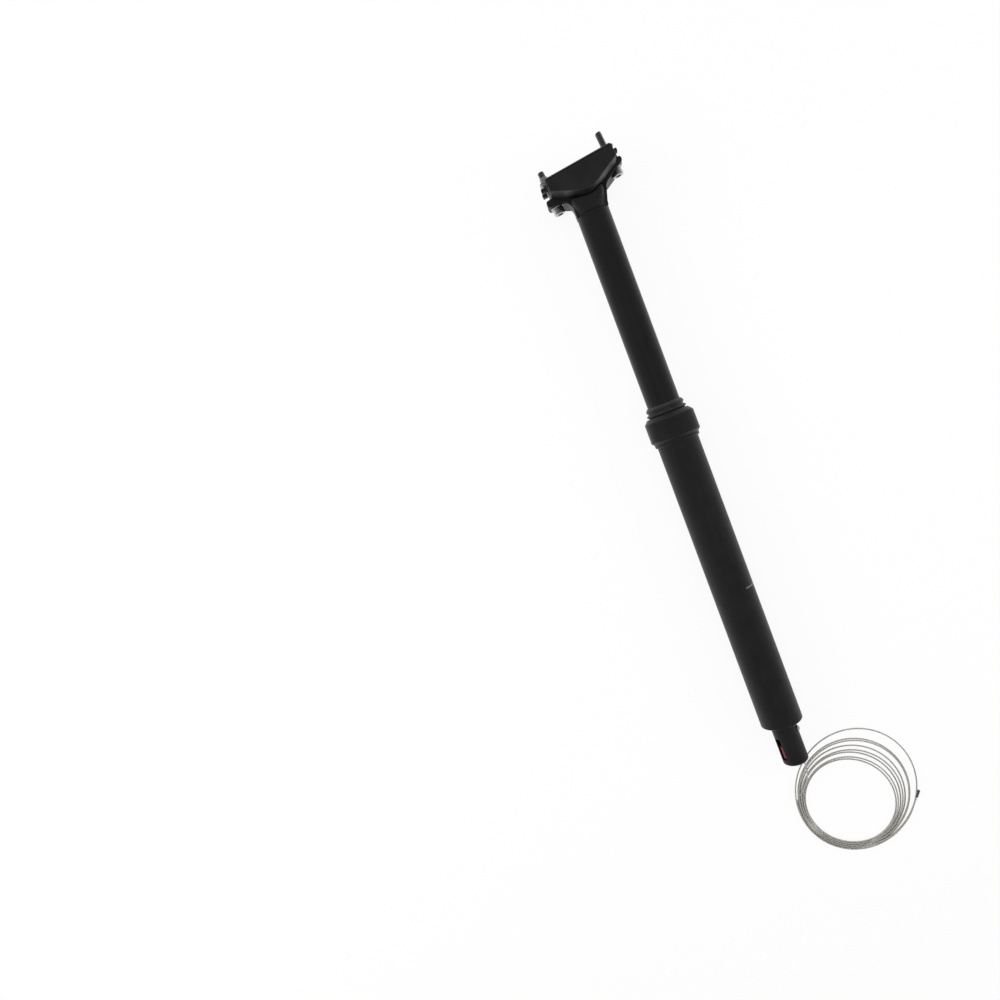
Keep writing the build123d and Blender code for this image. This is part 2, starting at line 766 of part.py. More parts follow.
# Head: a spigot in the inner tube, a neck that widens into the seat, and a web with an ear for each bolt
with BuildPart() as saddle_head:
    with BuildSketch(POST.offset(head_low)):
        Circle(inner_r)
    extrude(amount=neck_straight)
    with BuildSketch(POST.offset(head_low + neck_straight)):
        Circle(inner_r)
    with BuildSketch(POST.offset(head_low + neck_straight + neck_flare)):
        RectangleRounded(inner_r * 2, seat_half_width * 2, seat_corner)
    loft()
    with BuildSketch(POST.offset(head_low + neck_straight + neck_flare)):
        RectangleRounded(inner_r * 2, seat_half_width * 2, seat_corner)
    extrude(amount=clamp_lift - neck_straight - neck_flare)
    with BuildSketch(CLAMP):
        with BuildLine():
            Line(rear_tangent, (-ear_reach, flank(ear_reach, seat_r, rear_slope)))
            Line((-ear_reach, flank(ear_reach, seat_r, rear_slope)), (-ear_reach, ear_reach))
            Line((-ear_reach, ear_reach), (ear_reach, ear_reach))
            Line((ear_reach, ear_reach), (ear_reach, flank(ear_reach, seat_r, front_slope)))
            Line((ear_reach, flank(ear_reach, seat_r, front_slope)), front_tangent)
            ThreePointArc(front_tangent, (0, -seat_r), rear_tangent)
        make_face()
    extrude(amount=cheek_half_width, both=True, mode=Mode.SUBTRACT)
    with BuildSketch(SIDE):
        with BuildLine():
            FilletPolyline(
                (inner_r, head_low),
                on_side(front_root_forward, front_ear_bottom),
                on_side(ear_reach, front_ear_bottom),
                on_side(ear_reach, front_ear_top),
                on_side(wall_forward, front_ear_top),
                on_side(wall_forward, wall_foot),
                radius=(front_fillet_r, ear_corner, ear_corner, inner_corner),
            )
            ThreePointArc(
                on_side(wall_forward, wall_foot), on_side(0, -seat_r), on_side(-wall_forward, wall_foot)
            )
            FilletPolyline(
                on_side(-wall_forward, wall_foot),
                on_side(-wall_forward, rear_ear_top),
                on_side(-ear_reach, rear_ear_top),
                on_side(-ear_reach, rear_ear_bottom + rear_tip_rise),
                on_side(-rear_root_back, -rear_root_drop),
                (-inner_r, head_low + neck_straight),
                (-inner_r, head_low),
                radius=(inner_corner, ear_corner, ear_corner, rear_root_r, neck_fillet_r),
            )
            Line((-inner_r, head_low), (inner_r, head_low))
        make_face()
    extrude(amount=ear_half_width, both=True)
    with BuildSketch(POST.offset(spigot_low)):
        Circle(inner_bore_r)
    extrude(amount=spigot_length)
    with BuildSketch(POST.offset(spigot_low)):
        Circle(rod_r)
    extrude(amount=stud_length, mode=Mode.SUBTRACT)
    for forward, bottom in ((bolt_spacing / 2, front_ear_bottom), (-bolt_spacing / 2, rear_ear_bottom)):
        with BuildSketch(CLAMP_TOP.offset(bottom - overrun)):
            with Locations((forward, 0)):
                Circle(bolt_r + bolt_hole_gap)
        extrude(amount=overrun * 2 + front_ear_height, mode=Mode.SUBTRACT)
        with BuildSketch(CLAMP_TOP.offset(bottom)):
            with Locations((forward, 0)):
                Circle(washer_r + spot_gap)
        extrude(amount=-washer_height - bolt_head_height, mode=Mode.SUBTRACT)
export(saddle_head.part, "saddle_head")

# Lower cradle: a round belly in the head's seat, and a cheek beside each ear with a groove for a rail
cradle_slope = radians(flank_slope)
cheek_low = flank(cheek_half_length, cradle_r, cradle_slope)
cradle_front = (cradle_r * sin(cradle_slope), -cradle_r * cos(cradle_slope))
cradle_rear = (-cradle_front[0], cradle_front[1])
with BuildPart() as lower_cradle:
    with BuildSketch(CLAMP):
        with BuildLine():
            rear_top = (-cheek_half_length, -jaw_gap / 2)
            front_top = (cheek_half_length, -jaw_gap / 2)
            FilletPolyline(cradle_rear, (-cheek_half_length, cheek_low), rear_top, radius=cheek_corner)
            Line(rear_top, front_top)
            FilletPolyline(front_top, (cheek_half_length, cheek_low), cradle_front, radius=cheek_corner)
            ThreePointArc(cradle_front, (0, -cradle_r), cradle_rear)
        make_face()
    extrude(amount=cheek_half_width, both=True)
    for end in (-1, 1):
        outer_face = faces().filter_by(Plane(CLAMP.origin, CLAMP.x_dir, CLAMP.z_dir)).sort_by(SIDEWAYS)[
            -1 if end > 0 else 0
        ]
        chamfer(outer_face.edges().sort_by(CLAMP_UP)[:-1], cheek_edge)
    with BuildSketch(CLAMP_TOP.offset(-cradle_r)):
        Rectangle(cheek_half_length * 2, cheek_inner * 2)
    extrude(amount=cradle_r, mode=Mode.SUBTRACT)
    with BuildSketch(CLAMP):
        Circle(cradle_r)
        with Locations((0, -(jaw_gap + cradle_r) / 2)):
            Rectangle(core_half_length * 2, cradle_r, mode=Mode.INTERSECT)
    extrude(amount=cheek_inner, both=True)
    with BuildSketch(Plane(CLAMP.origin - CLAMP.x_dir * cheek_half_length, POST.y_dir, CLAMP.x_dir)):
        with Locations((rail_spacing / 2, 0), (-rail_spacing / 2, 0)):
            Circle(rail_r)
    extrude(amount=cheek_half_length * 2, mode=Mode.SUBTRACT)
export(lower_cradle.part, "lower_cradle")

# Upper clamp: a plate over both rails, with a fork at each end that the bolts pass through
with BuildPart() as upper_clamp:
    with BuildSketch(CLAMP):
        with BuildLine():
            Polyline(
                (-cheek_half_length, jaw_gap / 2),
                (cheek_half_length, jaw_gap / 2),
                (cheek_half_length, upper_height - upper_edge),
                (cheek_half_length - upper_edge, upper_height),
                (upper_edge - cheek_half_length, upper_height),
                (-cheek_half_length, upper_height - upper_edge),
                close=True,
            )
        make_face()
    extrude(amount=cheek_half_width, both=True)
    for end in (-1, 1):
        outer_face = faces().filter_by(Plane(CLAMP.origin, CLAMP.x_dir, CLAMP.z_dir)).sort_by(SIDEWAYS)[
            -1 if end > 0 else 0
        ]
        chamfer(outer_face.edges().sort_by(CLAMP_UP)[1:], upper_edge)
    slot_length = cheek_half_length - core_half_length + overrun
    for end in (-1, 1):
        with BuildSketch(CLAMP_TOP):
            with Locations((end * (core_half_length + slot_length / 2), 0)):
                Rectangle(slot_length, cheek_inner * 2)
        extrude(amount=fork_under, mode=Mode.SUBTRACT)
    with BuildSketch(CLAMP_TOP.offset(fork_under)):
        Rectangle(fork_reach * 2, cheek_inner * 2)
    extrude(amount=upper_height - fork_under)
    for end in (-1, 1):
        with BuildSketch(CLAMP_TOP):
            with Locations((end * (fork_slot_inner + fork_reach) / 2, 0)):
                Rectangle(fork_reach - fork_slot_inner + overrun, fork_slot_half_width * 2)
        extrude(amount=upper_height + overrun, mode=Mode.SUBTRACT)
    with BuildSketch(Plane(CLAMP.origin - CLAMP.x_dir * cheek_half_length, POST.y_dir, CLAMP.x_dir)):
        with Locations((rail_spacing / 2, 0), (-rail_spacing / 2, 0)):
            Circle(rail_r)
    extrude(amount=cheek_half_length * 2, mode=Mode.SUBTRACT)
export(upper_clamp.part, "upper_clamp")

# Clamp bolts, their washers and the barrel nuts that they screw into
nut_height = upper_height + nut_gap + nut_r
clamp_bolts = (
    ("front", bolt_spacing / 2, front_ear_bottom, front_bolt_length),
    ("rear", -bolt_spacing / 2, rear_ear_bottom, rear_bolt_length),
)
for name, forward, ear_bottom, bolt_length in clamp_bolts:
    seat_height = ear_bottom - washer_height
    with BuildPart() as clamp_bolt:
        with BuildSketch(CLAMP_TOP.offset(seat_height)):
            with Locations((forward, 0)):
                Circle(bolt_r)
        extrude(amount=bolt_length)
        chamfer(faces().sort_by(CLAMP_UP)[-1].edges(), bolt_edge)
        with BuildSketch(CLAMP_TOP.offset(seat_height - bolt_head_height)):
            with Locations((forward, 0)):
                Circle(bolt_head_r)
        extrude(amount=bolt_head_height)
        chamfer(faces().sort_by(CLAMP_UP)[0].edges(), bolt_edge)
        with BuildSketch(CLAMP_TOP.offset(seat_height - bolt_head_height)):
            with Locations((forward, 0)):
                RegularPolygon(hex_across / 2, 6, major_radius=False)
        extrude(amount=hex_depth, mode=Mode.SUBTRACT)
    export(clamp_bolt.part, f"{name}_clamp_bolt")

    with BuildPart() as barrel_nut:
        with BuildSketch(side_plane(forward, nut_height, CLAMP)):
            Circle(nut_r)
        extrude(amount=nut_half_length, both=True)
        chamfer(edges().filter_by(GeomType.CIRCLE), nut_edge)
        with BuildSketch(CLAMP_TOP.offset(nut_height - nut_r)):
            with Locations((forward, 0)):
                Circle(bolt_r + running)
        extrude(amount=nut_r * 2, mode=Mode.SUBTRACT)
    export(barrel_nut.part, f"{name}_barrel_nut")

with BuildPart() as clamp_washers:
    for name, forward, ear_bottom, bolt_length in clamp_bolts:
        with BuildSketch(CLAMP_TOP.offset(ear_bottom - washer_height)):
            with Locations((forward, 0)):
                Circle(washer_r)
                Circle(bolt_r, mode=Mode.SUBTRACT)
        extrude(amount=washer_height)
export(clamp_washers.part, "clamp_washers")

# The coil's middle, and the directions along and across its fan
coil_middle = Vector(foot_x - coil_back, -coil_side, cable_r)
FAN = Vector(cos(radians(fan_angle)), sin(radians(fan_angle)), 0)
ACROSS = Vector(-sin(radians(fan_angle)), cos(radians(fan_angle)), 0)
UP = Vector(0, 0, 1)
layer_rise = cable_r * 2 + loop_gap


def loop_point(across, along, height):
    """A point of the coil, by how far it is across and along the fan and above the ground loops."""
    return coil_middle + ACROSS * across + FAN * along + UP * height


def close_side(turn):
    """Where the close side of a loop lies, for loops counted from the first."""
    if turn < loops_in:
        return close_out - close_pitch * turn
    if turn < loops_in + loops_out:
        return close_in + close_pitch * (turn - loops_in)
    return last_close


def spread_side(turn):
    """Where the spread side of a loop lies, for loops counted from the first."""
    if turn < loops_in:
        return spread_out - spread_pitch * turn
    step = turn - loops_in
    return spread_in + spread_step * step + spread_growth * step * step


def arc_end_direction(start, direction, end):
    """Direction in which an arc arrives, when it leaves its start in the given direction."""
    chord = end - start
    return (chord * (2 * direction.dot(chord) / chord.dot(chord)) - direction).normalized()


def joint_of_two_arcs(start, leaving, end, arriving):
    """The point where two arcs meet that leave the start and arrive at the end as given."""
    gap = end - start
    both = leaving + arriving
    spare = 2 * (1 - leaving.dot(arriving))
    reach_out = (sqrt(gap.dot(both) ** 2 + spare * gap.dot(gap)) - gap.dot(both)) / spare
    return (start + end + (leaving - arriving) * reach_out) * 0.5


def coil_arcs():
    """The coil as pieces of path: a straight start, half turns, one climb, and a straight tail."""
    pieces = []
    first_along = start_r - close_side(0)
    turned = radians(start_turn)
    on_loop = loop_point(start_r * cos(turned), first_along - start_r * sin(turned), 0)
    heading = (ACROSS * -sin(turned) - FAN * cos(turned)).normalized()
    pieces.append((on_loop - heading * cable_r * 2, on_loop, None))
    here = on_loop
    for turn in range(loops_in + loops_out):
        height = 0 if turn < loops_in else layer_rise
        there = loop_point(0, -close_side(turn), height)
        if turn == loops_in:
            middle = (here + there) * 0.5 + ACROSS * ((spread_side(turn - 1) + close_side(turn)) / 2)
            slope = layer_rise * 2 / (pi * (middle - here).length / sqrt(2))
            rising = (UP * slope - FAN).normalized()
            for end, arriving in ((middle, rising), (there, -ACROSS)):
                joint = joint_of_two_arcs(here, heading, end, arriving)
                pieces.append((here, joint, heading))
                heading = arc_end_direction(here, heading, joint)
                pieces.append((joint, end, heading))
                here, heading = end, arriving
        else:
            pieces.append((here, there, heading))
            here, heading = there, -ACROSS
        there = loop_point(0, spread_side(turn), height)
        pieces.append((here, there, heading))
        here, heading = there, ACROSS
    there = loop_point(0, -last_close, layer_rise)
    pieces.append((here, there, heading))
    heading = -ACROSS
    turned = radians(last_turn)
    last_along = last_r - last_close
    end = loop_point(-last_r * sin(turned), last_along - last_r * cos(turned), layer_rise)
    pieces.append((there, end, heading))
    heading = (FAN * sin(turned) - ACROSS * cos(turned)).normalized()
    pieces.append((end, end + heading * tail_length, None))
    return pieces


coil = coil_arcs()
coil_start = coil[0][0]
coil_end = coil[-1][1]
start_heading = (coil[0][1] - coil[0][0]).normalized()
tail_heading = (coil[-1][1] - coil[-1][0]).normalized()

# Free cable from its barrel to the coil: straight runs joined by arcs as large as the runs allow
barrel_foot = SIDE.from_local_coords((-anchor_back, pivot_height - barrel_r, 0))
in_hole = SIDE.from_local_coords((-anchor_back - running, window_low + running, 0))
out_of_hole = SIDE.from_local_coords((-anchor_back + running, -overrun, 0))
run_points = [barrel_foot, in_hole, out_of_hole]
run_points += [Vector(foot_x + x, y, z) for x, y, z in cable_route]
run_points += [coil_start - start_heading * lead_in, coil_start]
run_radii = []
for before, corner, after in zip(run_points, run_points[1:], run_points[2:]):
    run_in = corner - before
    run_out = after - corner
    turn = radians(run_in.get_angle(run_out))
    run_radii.append(fillet_share * min(run_in.length, run_out.length) / tan(turn / 2))
print("cable radii", [round(r, 1) for r in run_radii])
with BuildPart() as inner_cable_run:
    with BuildLine() as run_path:
        FilletPolyline(*run_points, radius=run_radii)
    with BuildSketch(Plane(run_points[0], z_dir=run_points[1] - run_points[0])):
        Circle(cable_r)
    sweep(path=run_path.wires()[0])
run_length = sum(edge.length for edge in run_path.edges())
print("cable run", round(run_length, 2), "volume ratio",
      round(inner_cable_run.part.volume / (pi * cable_r**2 * run_length), 4))
export(inner_cable_run.part, "inner_cable_run")

# Coil of the cable that waits to be threaded up the frame
with BuildPart() as inner_cable_coil:
    with BuildLine() as coil_path:
        for start, end, heading in coil:
            if heading is None:
                Line(start, end)
            else:
                TangentArc(start, end, tangent=heading)
    with BuildSketch(Plane(coil_start, z_dir=start_heading)):
        Circle(cable_r)
    sweep(path=coil_path.wires()[0])
coil_length = sum(edge.length for edge in coil_path.edges())
print("cable coil", round(coil_length, 1), "volume ratio",
      round(inner_cable_coil.part.volume / (pi * cable_r**2 * coil_length), 4))
export(inner_cable_coil.part, "inner_cable_coil")

# Crimp that keeps the strands of the cable's end together
with BuildPart() as cable_end_crimp:
    with BuildSketch(Plane(coil_end, z_dir=tail_heading)):
        Circle(crimp_r)
    extrude(amount=crimp_length)
    chamfer(edges().filter_by(GeomType.CIRCLE), crimp_edge)
export(cable_end_crimp.part, "cable_end_crimp")

# Least distance between stretches of the cable that aren't beside each other along it
sample_step = 1.2
near_along = 12.0
samples = []
for wire, offset in ((run_path.wires()[0], 0), (coil_path.wires()[0], run_length)):
    count = int(wire.length / sample_step)
    for index in range(count):
        along = wire.length * index / count
        samples.append((offset + along, wire.position_at(along, position_mode=PositionMode.LENGTH)))
least = min(
    (a - b).length
    for i, (s, a) in enumerate(samples)
    for t, b in samples[i + 1:]
    if t - s > near_along
)
print("least gap of the cable to itself", round(least - cable_r * 2, 2))
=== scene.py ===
# %% [markdown]
# # A dropper seatpost on its side
# A dropper seatpost is a telescope that holds a bicycle's saddle. A gas spring pushes the inner tube
# up, the rider's weight pushes it down, and a red lever at its foot opens the gas spring's valve when
# a thin steel cable pulls it. Here the post lies on the bench with the spare cable coiled beside it.
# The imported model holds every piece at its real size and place. This lesson loads that model as a
# frame that is never changed, and makes the look around it: finishes for the pieces that stay as
# they are, and finer models for the ones that show most.

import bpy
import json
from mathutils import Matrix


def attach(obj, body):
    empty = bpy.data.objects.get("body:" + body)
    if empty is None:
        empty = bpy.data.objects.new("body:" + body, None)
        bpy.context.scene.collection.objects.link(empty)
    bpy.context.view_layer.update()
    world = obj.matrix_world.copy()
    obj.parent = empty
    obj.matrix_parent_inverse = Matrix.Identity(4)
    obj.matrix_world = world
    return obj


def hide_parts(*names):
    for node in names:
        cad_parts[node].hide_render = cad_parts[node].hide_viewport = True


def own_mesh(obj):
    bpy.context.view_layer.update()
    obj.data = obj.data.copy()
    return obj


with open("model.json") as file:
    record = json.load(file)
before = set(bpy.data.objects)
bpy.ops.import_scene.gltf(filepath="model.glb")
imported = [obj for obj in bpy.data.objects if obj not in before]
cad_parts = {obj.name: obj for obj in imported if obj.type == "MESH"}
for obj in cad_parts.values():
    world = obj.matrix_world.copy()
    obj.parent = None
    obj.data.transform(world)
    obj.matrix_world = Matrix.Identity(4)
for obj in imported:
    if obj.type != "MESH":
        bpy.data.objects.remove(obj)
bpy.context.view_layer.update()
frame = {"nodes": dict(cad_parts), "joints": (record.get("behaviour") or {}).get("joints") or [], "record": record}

# %% [markdown]
# ## Two frames of our own
# The post lies at a slight lean, so its pieces are easier to model standing up at the world's middle
# and then to lay down in place. Two matrices do that. The first belongs to the post: x forward, y to
# the side and z up the post, from its foot. The second belongs to the saddle clamp, whose bolts lean
# a little against the post. Both come from the joints and mounts of the frame, so they follow it.

# %% Frames of the post and of the clamp
import json
from math import ceil, cos, pi, radians, sin

import bmesh
import bpy
from mathutils import Matrix, Vector

mm = 0.001
joints = {joint["name"]: joint for joint in frame["joints"]}
mounts = {mount["name"]: mount for mount in frame["record"]["mounts"]}


def standing_frame(foot, sideways, upward):
    """The frame whose z runs upward, whose y points sideways and whose x points forward."""
    forward = sideways.cross(upward).normalized()
    turn = Matrix((forward, sideways.normalized(), upward.normalized())).transposed()
    return Matrix.Translation(foot) @ turn.to_4x4()


def extent(node, place, keep=None):
    """Lowest and highest corner, in one of our own frames, of a CAD node or of what a test keeps."""
    back = place.inverted()
    points = [back @ vertex.co for vertex in frame["nodes"][node].data.vertices]
    if keep:
        points = [point for point in points if keep(point)]
    low = Vector([min(point[axis] for point in points) for axis in range(3)])
    high = Vector([max(point[axis] for point in points) for axis in range(3)])
    return low, high


in_place = Matrix.Identity(4)
sideways = Vector(joints["clamp_tilt"]["axis"])
post_up = Vector(joints["post_slide"]["axis"])
on_axis = Vector(mounts["seat_tube_fit"]["pos_m"])
foot_height = extent("base_housing", standing_frame(on_axis, sideways, post_up))[0].z
post_foot = on_axis + post_up * foot_height
post_frame = standing_frame(post_foot, sideways, post_up)

clamp_up = Vector(joints["front_nut_slide"]["axis"])
rails_middle = (Vector(mounts["upper_rail"]["pos_m"]) + Vector(mounts["lower_rail"]["pos_m"])) / 2
clamp_frame = standing_frame(rails_middle, sideways, clamp_up)
print("foot of the post", [round(value, 4) for value in post_foot])

# %% [markdown]
# ## The camera
# The photograph was taken from straight above, by a camera near the middle of its picture, so the
# post is seen from a little to its front. The camera's height, tilt and lens were worked out from
# known points of the post: the ends of its tubes, the collar, the clamp and the coil.

# %% Camera
camera_place = Vector((19.3, 46.8, 615.0)) * mm
camera_target = Vector((16.5, 147.2, 0.0)) * mm
camera_top = Vector((0.9361, -0.3464, -0.0607))
camera_lens = 27.438

bpy.ops.object.camera_add()
camera = bpy.context.active_object
camera.name = "camera"
look = (camera_target - camera_place).normalized()
right = look.cross(camera_top).normalized()
turn = Matrix((right, right.cross(look), -look)).transposed()
camera.matrix_world = Matrix.Translation(camera_place) @ turn.to_4x4()
camera.data.lens = camera_lens
camera.data.sensor_width = 36
camera.data.clip_start = 0.01
camera.data.clip_end = 10
bpy.context.scene.camera = camera

# %% [markdown]
# ## Small helpers
# Blender's operators act on whatever is selected, and the frame's pieces arrive selected. So each
# step first selects one piece alone. In edit mode, faces are picked by a test on their middle and
# normal, which stands for the click of a mouse. A finished piece is moved into its place in the
# frame, and the move is applied, so that its object sits at the origin like those of the frame.

# %% Selecting, editing and finishing a piece


def pick(piece):
    """Select one piece alone and make it the active one."""
    bpy.ops.object.select_all(action="DESELECT")
    piece.select_set(True)
    bpy.context.view_layer.objects.active = piece


def edit(piece, kind="FACE"):
    """Open a piece in edit mode with nothing selected."""
    pick(piece)
    bpy.ops.object.mode_set(mode="EDIT")
    bpy.ops.mesh.select_mode(type=kind)
    bpy.ops.mesh.select_all(action="DESELECT")


def close_edit():
    """Go back to object mode."""
    bpy.ops.object.mode_set(mode="OBJECT")


def select_faces(piece, test):
    """In edit mode, select the faces whose middle and normal pass the test."""
    mesh = bmesh.from_edit_mesh(piece.data)
    for face in mesh.faces:
        face.select_set(test(face.calc_center_median(), face.normal))
    bmesh.update_edit_mesh(piece.data)


def select_points(piece, test):
    """In edit mode, select the vertices whose place passes the test."""
    mesh = bmesh.from_edit_mesh(piece.data)
    for vertex in mesh.verts:
        vertex.select_set(test(vertex.co))
    mesh.select_flush_mode()
    bmesh.update_edit_mesh(piece.data)


def apply_modifier(piece, kind, **settings):
    """Add a modifier, set it and apply it."""
    pick(piece)
    modifier = piece.modifiers.new(kind.title(), kind)
    for name, value in settings.items():
        setattr(modifier, name, value)
    bpy.ops.object.modifier_apply(modifier=modifier.name)


def tidy_mesh(piece, merge=0.002 * mm):
    """Merge doubled vertices and turn all faces outwards."""
    edit(piece)
    bpy.ops.mesh.select_all(action="SELECT")
    bpy.ops.mesh.remove_doubles(threshold=merge)
    bpy.ops.mesh.normals_make_consistent(inside=False)
    close_edit()


def smooth(piece, angle=35):
    """Shade a piece smooth, but keep edges sharper than the angle."""
    pick(piece)
    bpy.ops.object.shade_smooth_by_angle(angle=radians(angle))


def apply_place(piece):
    """Put a piece's place, turn and size into its mesh."""
    pick(piece)
    bpy.ops.object.transform_apply(location=True, rotation=True, scale=True)


def finish_piece(piece, name, place, body, slot, *nodes):
    """Lay a piece down in its place, name it, give it its finish and let it ride on its body."""
    piece.matrix_world = place @ piece.matrix_world
    apply_place(piece)
    piece.name = name
    piece.data.name = name
    piece.data.materials.clear()
    piece.data.materials.append(finishes[slot])
    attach(piece, body)
    if nodes:
        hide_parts(*nodes)
    print(name, len(piece.data.polygons), "faces")


# %% [markdown]
# ## How the finishes are built
# Every finish is a Principled shader fed by noise, so that no surface is one flat colour. A speckle
# is noise of a real size on the object's own coordinates, stretched where a surface was turned, drawn
# or brushed. Three more helpers use it: shade turns it into two near colours, vary_gloss into small
# changes of roughness and roughen into small changes of height. Numbers that stay the same all over a
# surface, such as how metallic it is, are set on the shader itself.

# %% Helpers for finishes
finishes = {}


def add_node(material, kind, **settings):
    """Add a node to a material's tree and set it."""
    node = material.node_tree.nodes.new(kind)
    for name, value in settings.items():
        setattr(node, name, value)
    return node


def connect(material, start, end):
    """Link an output to an input."""
    material.node_tree.links.new(start, end)


def shader_of(material):
    """The Principled shader of a material."""
    return material.node_tree.nodes["Principled BSDF"]


def new_finish(slot, metallic, roughness, specular=0.5):
    """Start a finish with the numbers that are the same all over it."""
    material = bpy.data.materials.new(slot)
    material.use_nodes = True
    shader = shader_of(material)
    shader.inputs["Metallic"].default_value = metallic
    shader.inputs["Roughness"].default_value = roughness
    shader.inputs["Specular IOR Level"].default_value = specular
    finishes[slot] = material
    return material


def speckle(material, size, detail=3, stretch=(1, 1, 1), turn=(0, 0, 0)):
    """Noise whose spots are about the given size, longer where it is stretched."""
    coordinates = add_node(material, "ShaderNodeTexCoord")
    mapping = add_node(material, "ShaderNodeMapping")
    mapping.inputs["Rotation"].default_value = turn
    mapping.inputs["Scale"].default_value = [1 / (size * share) for share in stretch]
    noise = add_node(material, "ShaderNodeTexNoise")
    noise.inputs["Scale"].default_value = 1
    noise.inputs["Detail"].default_value = detail
    connect(material, coordinates.outputs["Object"], mapping.inputs["Vector"])
    connect(material, mapping.outputs["Vector"], noise.inputs["Vector"])
    return noise.outputs["Fac"]


def shade(material, pattern, dark, light, low=0.3, high=0.7):
    """Colour a surface between two near colours."""
    ramp = add_node(material, "ShaderNodeValToRGB")
    ramp.color_ramp.elements[0].position = low
    ramp.color_ramp.elements[0].color = (*dark, 1)
    ramp.color_ramp.elements[1].position = high
    ramp.color_ramp.elements[1].color = (*light, 1)
    connect(material, pattern, ramp.inputs["Fac"])
    connect(material, ramp.outputs["Color"], shader_of(material).inputs["Base Color"])


def rescale(material, value, start, end, low=0.0, high=1.0):
    """Turn the values from start to end into values from low to high."""
    scale = add_node(material, "ShaderNodeMapRange")
    for name, number in zip(("From Min", "From Max", "To Min", "To Max"), (start, end, low, high)):
        scale.inputs[name].default_value = number
    connect(material, value, scale.inputs["Value"])
    return scale.outputs["Result"]


def vary_gloss(material, pattern, low, high):
    """Let the roughness wander between two values."""
    gloss = rescale(material, pattern, 0.3, 0.7, low, high)
    connect(material, gloss, shader_of(material).inputs["Roughness"])


def roughen(material, pattern, depth):
    """Raise and lower a surface by a real depth."""
    bump = add_node(material, "ShaderNodeBump")
    bump.inputs["Strength"].default_value = 1
    bump.inputs["Distance"].default_value = depth
    connect(material, pattern, bump.inputs["Height"])
    connect(material, bump.outputs["Normal"], shader_of(material).inputs["Normal"])


# %% [markdown]
# ## Anodised aluminium
# The tubes, collar, clamp and base are black anodised aluminium: a thin, hard, dyed layer that takes
# the texture of the metal under it. The outer tube is bead blasted and satin, the inner tube is
# polished along its length so that its seals slide, and the forged head keeps a fine grain. All are
# nearly black, with a soft sheen that only shows towards their edges.

# %% Black anodised finishes
lean = (0, -post_up.angle(Vector((1, 0, 0))), 0)


def anodised(slot, dark, light, gloss, grain, depth, drawn=1):
    """Dyed anodised aluminium: near black, a fine grain, and a gloss that wanders slowly."""
    material = new_finish(slot, metallic=0.0, roughness=gloss, specular=0.22)
    clouds = speckle(material, 14 * mm, stretch=(drawn, 1, 1), turn=lean)
    shade(material, clouds, dark, light)
    smears = speckle(material, 4 * mm, detail=4, stretch=(drawn * 2, 1, 1), turn=lean)
    vary_gloss(material, smears, gloss - 0.05, gloss + 0.06)
    fine = speckle(material, grain, detail=2, stretch=(drawn, 1, 1), turn=lean)
    roughen(material, fine, depth)


anodised("outer_anodised", (0.0085,) * 3, (0.0112, 0.0112, 0.0118), 0.42, 0.35 * mm, 0.006 * mm)
anodised("stanchion_anodised", (0.0072,) * 3, (0.0098, 0.0098, 0.0104), 0.32, 0.25 * mm,
         0.0025 * mm, drawn=6)
anodised("collar_anodised", (0.008,) * 3, (0.0108, 0.0108, 0.0112), 0.40, 0.3 * mm, 0.005 * mm)
anodised("clamp_anodised", (0.0088,) * 3, (0.0122, 0.0122, 0.0128), 0.44, 0.45 * mm, 0.010 * mm)
anodised("lever_anodised", (0.16, 0.010, 0.014), (0.24, 0.014, 0.018), 0.40, 0.3 * mm, 0.004 * mm)
print("anodised finishes", len(finishes))

# %% [markdown]
# ## A mark on the outer tube
# A short grey line across the outer tube tells how far it may stand out of the frame. It is printed,
# so it has no thickness and belongs in the finish. A Mapping node turns the object's coordinates into
# those of the standing post, and three tests mark the points at the line's height, along its width
# and on the side of the tube that faces up.

# %% Grey line across the outer tube
mark_height = 142.4 * mm
mark_middle = -11.9 * mm
mark_half_width = 3.4 * mm
mark_half_height = 0.45 * mm
mark_grey = (0.16, 0.16, 0.16)


def coordinates_in(material, place):
    """The object's coordinates, turned into one of our own frames and split into x, y and z."""
    coordinates = add_node(material, "ShaderNodeTexCoord")
    turned = add_node(material, "ShaderNodeMapping")
    upright = place.inverted()
    turned.inputs["Location"].default_value = upright.translation
    turned.inputs["Rotation"].default_value = upright.to_euler()
    split = add_node(material, "ShaderNodeSeparateXYZ")
    connect(material, coordinates.outputs["Object"], turned.inputs["Vector"])
    connect(material, turned.outputs["Vector"], split.inputs[0])
    return split.outputs


def compute(material, operation, *values):
    """One step of arithmetic on numbers and on the outputs of other nodes."""
    step = add_node(material, "ShaderNodeMath", operation=operation)
    for socket, value in zip(step.inputs, values):
        if isinstance(value, (int, float)):
            socket.default_value = value
        else:
            connect(material, value, socket)
    return step.outputs[0]


def paint_over(material, where, colour):
    """Lay a second colour over the first one, as far as a factor says."""
    paint = add_node(material, "ShaderNodeMix", data_type="RGBA")
    base_colour = shader_of(material).inputs["Base Color"]
    connect(material, base_colour.links[0].from_socket, paint.inputs["A"])
    paint.inputs["B"].default_value = (*colour, 1)
    connect(material, where, paint.inputs["Factor"])
    connect(material, paint.outputs["Result"], base_colour)


outer = finishes["outer_anodised"]
on_post = coordinates_in(outer, post_frame)
at_height = compute(outer, "COMPARE", on_post["Z"], mark_height, mark_half_height)
in_width = compute(outer, "COMPARE", on_post["X"], mark_middle, mark_half_width)
on_top = compute(outer, "GREATER_THAN", on_post["Y"], 0)
in_line = compute(outer, "MULTIPLY", at_height, in_width)
paint_over(outer, compute(outer, "MULTIPLY", in_line, on_top), mark_grey)
print("mark at", round(mark_height / mm, 1), "mm up the post")

